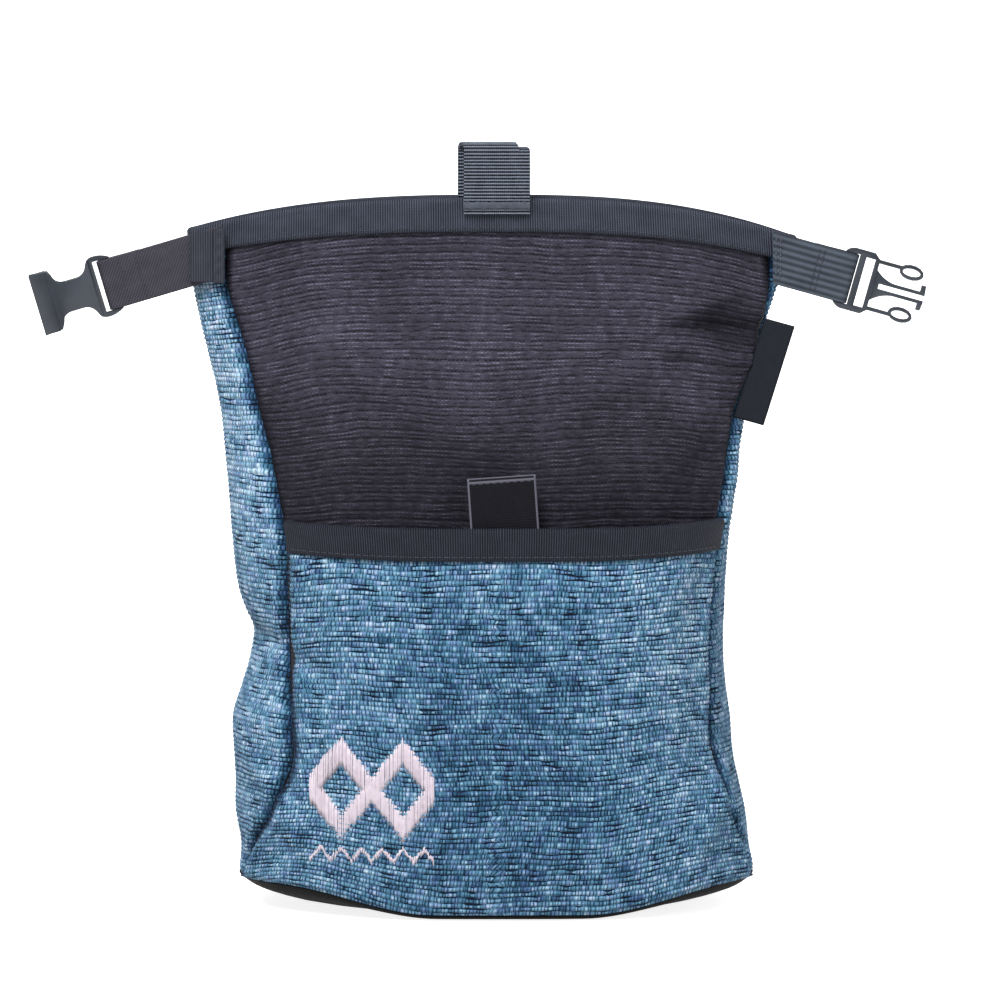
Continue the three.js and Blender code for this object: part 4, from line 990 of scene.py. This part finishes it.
tab_front = line_of(tab_x, tab_edge[1] + tab_lean * rises - TAB_HALF_GAP, tab_edge[2] + rises)
tab_back = tab_front + np.array([0, 2 * TAB_HALF_GAP, 0])
tab_bend = np.linspace(math.pi, 0, 13)[1:-1]
tab_crown = line_of(tab_x[-1], tab_front[-1, 1] + TAB_HALF_GAP * (1 + np.cos(tab_bend)),
                    tab_front[-1, 2] + 0.9 * np.sin(tab_bend))
tab_path = np.concatenate([tab_front, tab_crown, tab_back[::-1]])
tab_fold = run_lengths(tab_path)[-1] / 2
# The pale colour serves the selvedges, the stitching and the painted highlight along the fold
tab_cloth = woven_material("plain polyester tape", "#040409", "#181820", (0.8, 0.2), (0.8, 0.2), depth=0.0001,
                           edge=(TAB_WIDTH / 2, "#62626e", tab_fold), gloss=0.1)
tab_across = (math.cos(TAB_TURN), 0, math.sin(TAB_TURN))
pocket_tab = ribbon("pull_tab", tab_path, tab_across, TAB_WIDTH, TAB_PLY, tab_cloth,
                    cross_ribs(0.06, 1.1), 0.35, 26)
place(pocket_tab, "pocket_tab", "webbing")

# %% [markdown]
# ## The belt loop
#
# A strip of webbing on the back stands off in the middle, so that a belt goes behind it, and lies
# against the cloth where it is sewn down.

# %% The belt loop
BELT = dict(width=25.0, foot=108.0, height=58.0, room=8.0, thickness=1.4)
belt_seat = OUTSIDE + BELT["thickness"] / 2 + 0.3
belt_along = np.linspace(0, 1, 61)
arch = [0, 0, 0.45, 0.9, 1, 1, 0.9, 0.45, 0, 0]
belt_stand = np.interp(belt_along, [0, 0.13, 0.19, 0.26, 0.36, 0.64, 0.74, 0.81, 0.87, 1], arch)
back_zs = np.linspace(0.2, 0.8, 400)
back_line = panel_grid("back", [0.5], back_zs, WALL)[0][:, 0, 2]
belt_z = BELT["foot"] + BELT["height"] * belt_along
belt_up = np.interp(belt_z, back_line, back_zs)
belt_y = np.array([panel_grid("back", [0.5], [up], belt_seat + BELT["room"] * stand)[0][0, 0, 1]
                   for up, stand in zip(belt_up, belt_stand)])
belt_x = panel_grid("back", [0.5], [0.5], WALL)[0][0, 0, 0]
belt_loop = ribbon("belt_loop_webbing", line_of(belt_x, belt_y, belt_z), (-1, 0, 0), BELT["width"],
                   BELT["thickness"], webbing, cross_ribs(0.12, WEBBING_PITCH), 0.3, 28)
place(belt_loop, "belt_loop", "webbing")

# %% [markdown]
# ## The side label
#
# A bare strip of satin tape, folded and caught in the right seam. It follows the seam's line and
# slants downwards as it stands out.

# %% The side label
LABEL = dict(foot=193.5, height=38.5, reach=12.6, thickness=1.2)
edge_ups = np.linspace(0.5, 0.95, 400)
edge_line = panel_grid("front", [1.0], edge_ups, WALL)[0][:, 0, 2]
label_ups = np.interp(LABEL["foot"] + LABEL["height"] * np.linspace(0, 1, 25), edge_line, edge_ups)
label_low = panel_grid("front", [1.0], label_ups, OUTSIDE + 0.1)[0][:, 0]
label_out = panel_grid("front", [1.0], label_ups, OUTSIDE + 1.1)[0][:, 0] - label_low
label_out = (label_out.mean(0) + np.array([0.7, 0, 0])) * np.array([1, 1, 0])
label_out /= np.linalg.norm(label_out)
label_out[2] = -0.22
label_share = np.linspace(0, 1, len(label_low))[:, None]
label_low = label_low[0] * (1 - label_share) + label_low[-1] * label_share
label_path = label_low + label_out * (LABEL["reach"] / 2 - 1.0) + np.array([0, -1.0, 0])
side_label = ribbon("side_label_tape", label_path, label_out, LABEL["reach"], LABEL["thickness"], label_cloth,
                    None, 0.8, 14)
place(side_label, "side_label", "binding_tape")

# %% [markdown]
# ## Closing straps and buckles
#
# Each strap runs out from the rim, round the buckle's bar and back on itself, where it is sewn
# down. Each buckle half is a copy of the frame's solid: its loose triangles are merged, its flat
# faces joined up again, and the edges bevelled.

# %% Straps
STRAP_WIDTH, STRAP_THICKNESS, STRAP_TURN_BACK, BAR_RADIUS, STRAP_ROOM = 20.0, 1.3, 15.0, 1.0, 0.3
TURN_RADIUS = BAR_RADIUS + STRAP_ROOM + STRAP_THICKNESS / 2
STRAPS = {
    "left": dict(out=-1, root=108.0, z=259.0, droop=16.5, length=46.0),
    "right": dict(out=1, root=108.3, z=256.5, droop=15.6, length=30.0),
}


def strap_frame(side):
    """Origin at the buckle's bar, along outwards down the strap, across upwards over its width."""
    s = STRAPS[side]
    angle = math.radians(s["droop"])
    along = np.array([s["out"] * math.cos(angle), 0, -math.sin(angle)])
    across = np.array([s["out"] * math.sin(angle), 0, math.cos(angle)])
    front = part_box("strap_" + side)[0].y / MM + STRAP_THICKNESS / 2
    bar = np.array([s["out"] * s["root"], front + TURN_RADIUS, s["z"]]) + along * s["length"]
    return bar, along, across


def strap_piece(side, look, relief):
    """The route is pairs of (along, behind the bar): in from the root, half a turn round the bar,
    and back to where it is sewn down."""
    bar, along, across = strap_frame(side)
    sewn = -TURN_RADIUS + STRAP_THICKNESS + SEAM_GAP
    angle = np.linspace(-math.pi / 2, math.pi / 2, 19)
    turn = TURN_RADIUS * np.stack([np.cos(angle), np.sin(angle)], -1)
    ends = np.array([(0.2, TURN_RADIUS * 0.75), (0.45, (TURN_RADIUS + sewn) / 2), (0.7, sewn), (1, sewn)])
    ends[:, 0] *= -STRAP_TURN_BACK
    route = np.concatenate([[(-STRAPS[side]["length"], -TURN_RADIUS)], turn, ends])
    path = bar + route[:, :1] * along + route[:, 1:] * np.array([0, 1, 0])
    cut = -math.tan(math.radians(STRAPS[side]["droop"]))
    piece = ribbon("closing_strap_" + side, path, across, STRAP_WIDTH, STRAP_THICKNESS, look, relief,
                   0.4, 40, cut=cut)
    return place(piece, "strap_" + side, "webbing")


def twill_ribs(along, aside):
    """Slanting ribs."""
    return 0.03 * np.sin(2 * np.pi * (along + aside * TWILL_SLANT) / TWILL_PITCH)


def long_ribs(along, aside):
    """Ribs along the strap, pressed flat where it turns round the bar."""
    return 0.06 * np.cos(2 * np.pi * aside / CORD_LINE_PITCH) * smooth(np.abs(along - 31) / 4 - 0.6)


strap_piece("left", twill, twill_ribs)
strap_piece("right", lengthwise, long_ribs)


# %% [markdown]
# ## Tape over the left strap's root
#
# A thin tape and its rolled edge cover the place where the left strap is sewn to the rim.

# %% Tape over the left strap's root
def upright_tape(name, x, low, high, width, thickness, lift, relief=None):
    """A short upright tape in front of the left strap, lift mm off the middle of its turn."""
    y = strap_frame("left")[0][1] - TURN_RADIUS - lift
    path = line_of(x, y, np.linspace(low, high, 3))
    piece = ribbon(name, path, (1, 0, 0), width, thickness, root_cloth, relief, 0.5, 16)
    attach(piece, "root")


upright_tape("strap_root_tape", -114.0, 247.0, 267.6, 12.8, 0.7, 1.2)
upright_tape("strap_root_fold", -109.0, 246.6, 268.2, 4.4, 1.3, 1.9,
             lambda along, aside: 0.2 * np.sin(along * 1.3) * np.cos(aside))


# %% [markdown]
# ## Buckles
#
# Moulded edges are never sharp: they catch a thin line of light, which the bevel gives.

# %% Buckles
def rounded_copy(name, node, radius):
    """A merged copy of a solid with its flat faces joined and its edges bevelled by radius mm."""
    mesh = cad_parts[node].data.copy()
    mesh.name = name
    edit = bmesh.new()
    edit.from_mesh(mesh)
    bmesh.ops.remove_doubles(edit, verts=edit.verts, dist=0.00002)
    bmesh.ops.dissolve_limit(edit, angle_limit=math.radians(1.5), verts=edit.verts, edges=edit.edges)
    edit.to_mesh(mesh)
    edit.free()
    mesh.materials.clear()
    mesh.materials.append(plastic)
    piece = bpy.data.objects.new(name, mesh)
    bpy.context.scene.collection.objects.link(piece)
    bevel = piece.modifiers.new("rounded edges", "BEVEL")
    bevel.width = radius * MM
    bevel.segments = 2
    bevel.limit_method = "ANGLE"
    bevel.angle_limit = math.radians(32)
    bevel.harden_normals = True
    mesh.polygons.foreach_set("use_smooth", np.ones(len(mesh.polygons), bool))
    print(name, "faces", len(mesh.polygons))
    return piece


socket_half = rounded_copy("socket_half", "buckle_socket", 0.35)
plug_half = rounded_copy("plug_half", "buckle_plug", 0.3)
place(socket_half, "buckle_socket", "buckle_plastic")
place(plug_half, "buckle_plug", "buckle_plastic")

# %% [markdown]
# ## Thread
#
# A stitch is a short arc of thread that dives into the cloth at both ends. Thousands of them are
# one mesh, since each is the same five small rings along its own line. The pocket's ornament is
# satin stitch: upright threads side by side, with uneven ends, fill two zigzag bands that mirror
# each other, over a thin zigzag line.

# %% Stitches as arcs
def stitch_mesh(name, seams, bulge, radius, look):
    """One mesh of threads from seams, each its (starts, ends, outward). A thread has rings at 0,
    1/4, 1/2, 3/4, 1 of its line, lifted by bulge 4s(1-s)."""
    starts, ends, outward = (np.concatenate(parts).astype(float) for parts in zip(*seams))
    share = np.linspace(0, 1, 5)[None, :, None]
    arc = outward[:, None] * (bulge * 4 * share * (1 - share))
    line = starts[:, None] * (1 - share) + ends[:, None] * share + arc
    run = ends - starts
    side = np.cross(run, outward)
    side /= np.linalg.norm(side, axis=1, keepdims=True)
    size = radius * np.array([0.5, 1, 1, 1, 0.5])[None, :, None]
    corners = [line + size * direction[:, None] for direction in (side, outward, -side, -outward)]
    points = np.stack(corners, 2).reshape(-1, 3)
    one = [grid_faces(5, 4, 0, wrap=True), np.array([[3, 2, 1, 0], [16, 17, 18, 19]])]
    faces = [(f[None] + (np.arange(len(starts)) * 20)[:, None, None]).reshape(-1, 4) for f in one]
    length = np.linalg.norm(run, axis=1)[:, None, None]
    places = np.broadcast_arrays(share * length, np.arange(4.0)[None, None, :])
    uvs = np.stack(places, -1).reshape(-1, 2) / 100
    piece = make_piece(name, points, faces, uvs, (look,))
    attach(piece, "root")
    print(name, len(starts), "threads")
    return piece


def running(line, outward, length, gap):
    """Starts and ends of stitches of that length and gap along a polyline, and their outward."""
    runs, outward = run_lengths(line), np.broadcast_to(np.asarray(outward, float), line.shape)
    at = np.arange(gap, runs[-1] - length, length + gap)
    pick = lambda where, values: np.stack([np.interp(where, runs, values[:, i]) for i in range(3)], -1)
    normal = pick(at + length / 2, outward)
    return pick(at, line), pick(at + length, line), normal / np.linalg.norm(normal, axis=1, keepdims=True)


def tape_line(panel, up, off, first=0.0, last=1.0):
    """A line across a panel at one height, with the direction outwards there."""
    shares = np.linspace(first, last, 161)
    line = panel_grid(panel, shares, [up], off(shares, up))[0][0]
    further = panel_grid(panel, shares, [up], off(shares, up) + 1)[0][0]
    return line, further - line


OVER_TAPE = SEAM_GAP + TAPE_THICKNESS + 0.02
FORWARDS, BACKWARDS = (0, -1, 0), (0, 1, 0)


def over_rim(shares, up):
    """The face of the rim's tape."""
    return body_wall(shares, up) + OVER_TAPE


def over_pocket(shares, up):
    """The face of the pocket's tape."""
    return pocket_face(shares, up) + OVER_TAPE


# %% Sewing on the tapes, loop and straps
inset = 1.6 / PANEL_TOP
seams = [running(*tape_line(panel, RIM_TAPE_UP + inset, over_rim), 2.4, 0.5) for panel in ("front", "back")]
seams.append(running(*tape_line("front", POCKET_TAPE_UP + inset, over_pocket, 0.03, 0.968), 2.4, 0.5))
root_seams = []
for side, places in (("left", (33.0, 40.0)), ("right", (1.2, 3.0, 17.0, 19.0))):
    bar, along, across = strap_frame(side)
    for at in places:
        reach = np.linspace(-8.6, 8.6, 9)[:, None]
        slant = -math.tan(math.radians(STRAPS[side]["droop"])) * (1 - smooth(at / CUT_REACH))
        line = bar + along * (at - STRAPS[side]["length"] + slant * reach) + reach * across
        line = line - np.array([0, TURN_RADIUS + STRAP_THICKNESS / 2 + 0.12, 0])
        pale = side == "right" and at < 5
        (root_seams if pale else seams).append(running(line, FORWARDS, 1.5, 0.4))
y, z, reach = tab_front[-1, 1] - TAB_PLY / 2 - 0.05, tab_front[-1, 2] - 0.9, np.linspace(-12.4, 12.4, 9)
seams.append(running(line_of(tab_x[-1] + reach, y, z + reach * math.tan(TAB_TURN)), FORWARDS, 2.2, 0.5))
for along_share in (0.03, 0.1, 0.9, 0.97):
    y, z = (np.interp(along_share, belt_along, row) for row in (belt_y, belt_z))
    line = line_of(belt_x + np.linspace(-11, 11, 9), y + BELT["thickness"] / 2 + 0.15, z)
    seams.append(running(line, BACKWARDS, 1.8, 0.4))
stitch_mesh("tape_stitches", seams, 0.16, 0.16, sewing)

# The bar tack: upright threads side by side across the loop's foot
loop_front = loop_path[:2, 1].mean() - LOOP_THICKNESS / 2 - 0.3
tack_x = np.arange(-12.9, 12.9, 0.4)
tack_ends = np.random.default_rng(71).uniform(-0.3, 0.3, (2, len(tack_x)))
tack = [line_of(tack_x, loop_front, BAG_HEIGHT - below + shake)
        for below, shake in zip((4.2, 1.0), tack_ends)]
root_seams.append((*tack, np.broadcast_to(FORWARDS, tack[0].shape)))
stitch_mesh("tack_stitches", root_seams, 0.2, 0.2, pale_sewing)


# %% [markdown]
# ## Satin stitch
#
# Satin stitch lies on the pocket's curved face, so each thread's two ends are looked up on that
# face, and lifted by half a thread.

# %% Satin stitch on the pocket
FINDER_SHARES, FINDER_UPS = 240, 160


def surface_finder(face):
    """Returns a function from x and height in mm to a place on that face of the front, which
    steps nearer by what is left to go, as in Newton's method, over a table of places."""
    shares, ups = np.linspace(0, 1, FINDER_SHARES + 1), np.linspace(0, POCKET_UP, FINDER_UPS + 1)
    table = panel_grid("front", shares, ups, face(shares[None, :], ups[:, None]))[0]
    normals = grid_normals(table)

    def read(values, s, u):
        """The table's values between its rows and columns, blended straight."""
        i = np.clip(s * FINDER_SHARES, 0, FINDER_SHARES - 0.001)
        j = np.clip(u / POCKET_UP * FINDER_UPS, 0, FINDER_UPS - 0.001)
        i0, j0 = i.astype(int), j.astype(int)
        fi, fj = (i - i0)[:, None], (j - j0)[:, None]
        low = values[j0, i0] * (1 - fi) + values[j0, i0 + 1] * fi
        return low * (1 - fj) + (values[j0 + 1, i0] * (1 - fi) + values[j0 + 1, i0 + 1] * fi) * fj

    def find(x, z):
        """The place and the outward direction at x across and z up."""
        s, u = 0.5 + x / 220, z / PANEL_TOP
        for _ in range(8):
            now = read(table, s, u)
            s = np.clip(s + (x - now[:, 0]) / 200, 0, 1)
            u = np.clip(u + (z - now[:, 2]) / PANEL_TOP, 0, POCKET_UP)
        return read(table, s, u), read(normals, s, u)

    return find


def satin(find, x, low, high, seed):
    """Upright threads at each x from low to high, their ends uneven by up to 0.8 mm."""
    shake = np.random.default_rng(seed).uniform(-0.8, 0.8, (3, len(x)))
    foot, normal = find(x + shake[2] * 0.2, low + shake[0])
    head, _ = find(x + shake[2] * 0.2, high + shake[1])
    return foot + normal * 0.25, head + normal * 0.25, normal


ORNAMENT = dict(left=-73.0, right=-24.5, low=31.5, high=73.0, band=11.5, thread=0.36)
on_pocket = surface_finder(pocket_face)
x = np.arange(ORNAMENT["left"], ORNAMENT["right"], ORNAMENT["thread"])
period = (ORNAMENT["right"] - ORNAMENT["left"]) / 2
wave = np.abs((x - ORNAMENT["left"]) / period % 1 * 2 - 1)
swing = (ORNAMENT["high"] - ORNAMENT["low"] - ORNAMENT["band"]) / 2
middle = (ORNAMENT["high"] + ORNAMENT["low"]) / 2
half = ORNAMENT["band"] / 2
bands = [satin(on_pocket, x, height - half, height + half, 61 + side)
         for side, height in ((side, middle + side * swing * (1 - wave)) for side in (1, -1))]
line_low = 23.0 + 5.0 * np.abs(((x - ORNAMENT["left"]) / (period / 3) + 0.5) % 1 * 2 - 1)
bands.append(satin(on_pocket, x, line_low, line_low + 2.2, 67))
stitch_mesh("pocket_ornament", bands, 0.35, 0.24, floss)

# %% [markdown]
# ## Base
#
# The base is a coated panel that lies flat in the middle and curls up to the bottom seam, with a
# rolled edge that shows as a thin dark line under the hem.

# %% The base
def base_piece():
    """Rings of the bottom outline shrunk towards the middle by s: their height is that of the hem
    less the edge, times ((s - flat)/(1 - flat))^2.6. The rim of the underside is rolled."""
    counts = (("front", 96), ("right", 24), ("back", 72), ("left", 24))
    outer, inner = (
        np.concatenate([panel_grid(panel, np.linspace(0, 1, count + 1), [0.0], off)[0][0]
                        for panel, count in counts])
        for off in (WALL, 0.0)
    )
    shares = np.array([1, 0.99, 0.98, 0.965, 0.95, 0.93, 0.9, 0.86, 0.8, 0.7, 0.6, BASE_FLAT, 0.2])
    rings = []
    for line, under in ((outer, True), (inner, False)):
        for share in shares if under else shares[::-1]:
            rise = line[:, 2] - SEAM_GAP
            curl = np.clip((share - BASE_FLAT) / (1 - BASE_FLAT), 0, 1) ** BASE_CURL
            roll = np.clip((share - 0.93) / 0.07, 0, 1) ** 2
            z = (rise - BASE_EDGE) * curl + (BASE_EDGE * roll if under else WALL)
            rings.append(line_of(line[:, 0] * share, line[:, 1] * share, np.minimum(z, rise)))
    rings = np.stack(rings)
    count = rings.shape[1]
    points = np.concatenate([rings.reshape(-1, 3), [[0, 0, 0], [0, 0, WALL]]])
    half = len(shares)
    faces = np.concatenate([grid_faces(half, count, first, wrap=True) for first in (0, half * count)])
    k = np.arange(count)
    k1 = (k + 1) % count
    last = (2 * half - 1) * count
    join = np.stack([last + k, last + k1, k1, k], -1)
    hub = len(points) - 2
    low = np.stack([0 * k + hub, (half - 1) * count + k1, (half - 1) * count + k], -1)[:, ::-1]
    top = np.stack([0 * k + hub + 1, half * count + k, half * count + k1], -1)[:, ::-1]
    uvs = points[:, :2] / 100
    return make_piece("base_cloth_panel", points, [faces, join, low, top], uvs, (base_cloth,))


base = base_piece()
place(base, "base_panel", "base_cloth")

# %% [markdown]
# ## Floor, light and camera
#
# The bag stands on a white sweep in a bright, even light, as in a product photograph. The camera
# is far away with a long lens, so that the bag shows nearly without perspective.

# %% Floor and light
FLOOR_REACH, PAPER_GLOW, SKY_LIGHT = 6, 0.84, 0.42
floor_mesh = bpy.data.meshes.new("floor")
floor_corners = [(x * FLOOR_REACH, y * FLOOR_REACH, 0) for x, y in ((-1, -1), (1, -1), (1, 1), (-1, 1))]
floor_mesh.from_pydata(floor_corners, [], [(0, 1, 2, 3)])
floor = bpy.data.objects.new("floor", floor_mesh)
bpy.context.scene.collection.objects.link(floor)
paper, paper_tree, paper_shader = new_material("white paper sweep")
connect(paper_tree, paper_shader, {"Base Color": linear("#f4f4f4"), "Roughness": 0.9,
                                   "Emission Color": linear("#ffffff"), "Emission Strength": PAPER_GLOW})
floor_mesh.materials.append(paper)
floor.visible_diffuse = False

world = bpy.data.worlds.new("studio")
bpy.context.scene.world = world
world.use_nodes = True
sky = world.node_tree
seen = add(sky, "LightPath", out="Is Camera Ray")
strength = add(sky, "MapRange", {"Value": seen, "To Min": SKY_LIGHT, "To Max": 1.0})
connect(sky, sky.nodes["Background"], {"Color": linear("#ffffff"), "Strength": strength})


def soft_sun(name, azimuth, elevation, softness, power):
    """A soft sun: azimuth in degrees to the right of straight in front, softness its width."""
    lamp = bpy.data.lights.new(name, "SUN")
    lamp.angle, lamp.energy = math.radians(softness), power
    holder = bpy.data.objects.new(name, lamp)
    bpy.context.scene.collection.objects.link(holder)
    holder.rotation_euler = (math.radians(90 - elevation), 0, math.radians(azimuth))


soft_sun("key light", -28, 52, 30, 3.4)
soft_sun("fill light", 60, 35, 60, 0.7)

# %% [markdown]
# ## Camera
#
# The lens and the aim are worked out from the picture's scale, in pixels per mm, and from where
# the bag's middle and its base lie in it.

# %% Camera
VIEW_UP, VIEW_AWAY = 7.0, 5.0
PICTURE, BAG_X, BASE_Y, PX_PER_MM, FORESHORTENED = 1000, 497, 903, 2.54, 0.9925
SENSOR = 36
camera_data = bpy.data.cameras.new("camera")
camera = bpy.data.objects.new("camera", camera_data)
bpy.context.scene.collection.objects.link(camera)
rise = math.radians(VIEW_UP)
right, above = (PICTURE / 2 - BAG_X) / PX_PER_MM, (BASE_Y - PICTURE / 2) / PX_PER_MM / FORESHORTENED
target = np.array([right, 0, above]) * MM
camera.location = target + VIEW_AWAY * np.array([0, -math.cos(rise), math.sin(rise)])
camera.rotation_euler = (math.pi / 2 - rise, 0, 0)
camera_data.sensor_width = SENSOR
camera_data.lens = SENSOR * VIEW_AWAY / (PICTURE / PX_PER_MM * MM)
camera_data.clip_end = 50
bpy.context.scene.camera = camera
bpy.context.scene.view_settings.view_transform = "Standard"
print("lens", round(camera_data.lens), "mm")
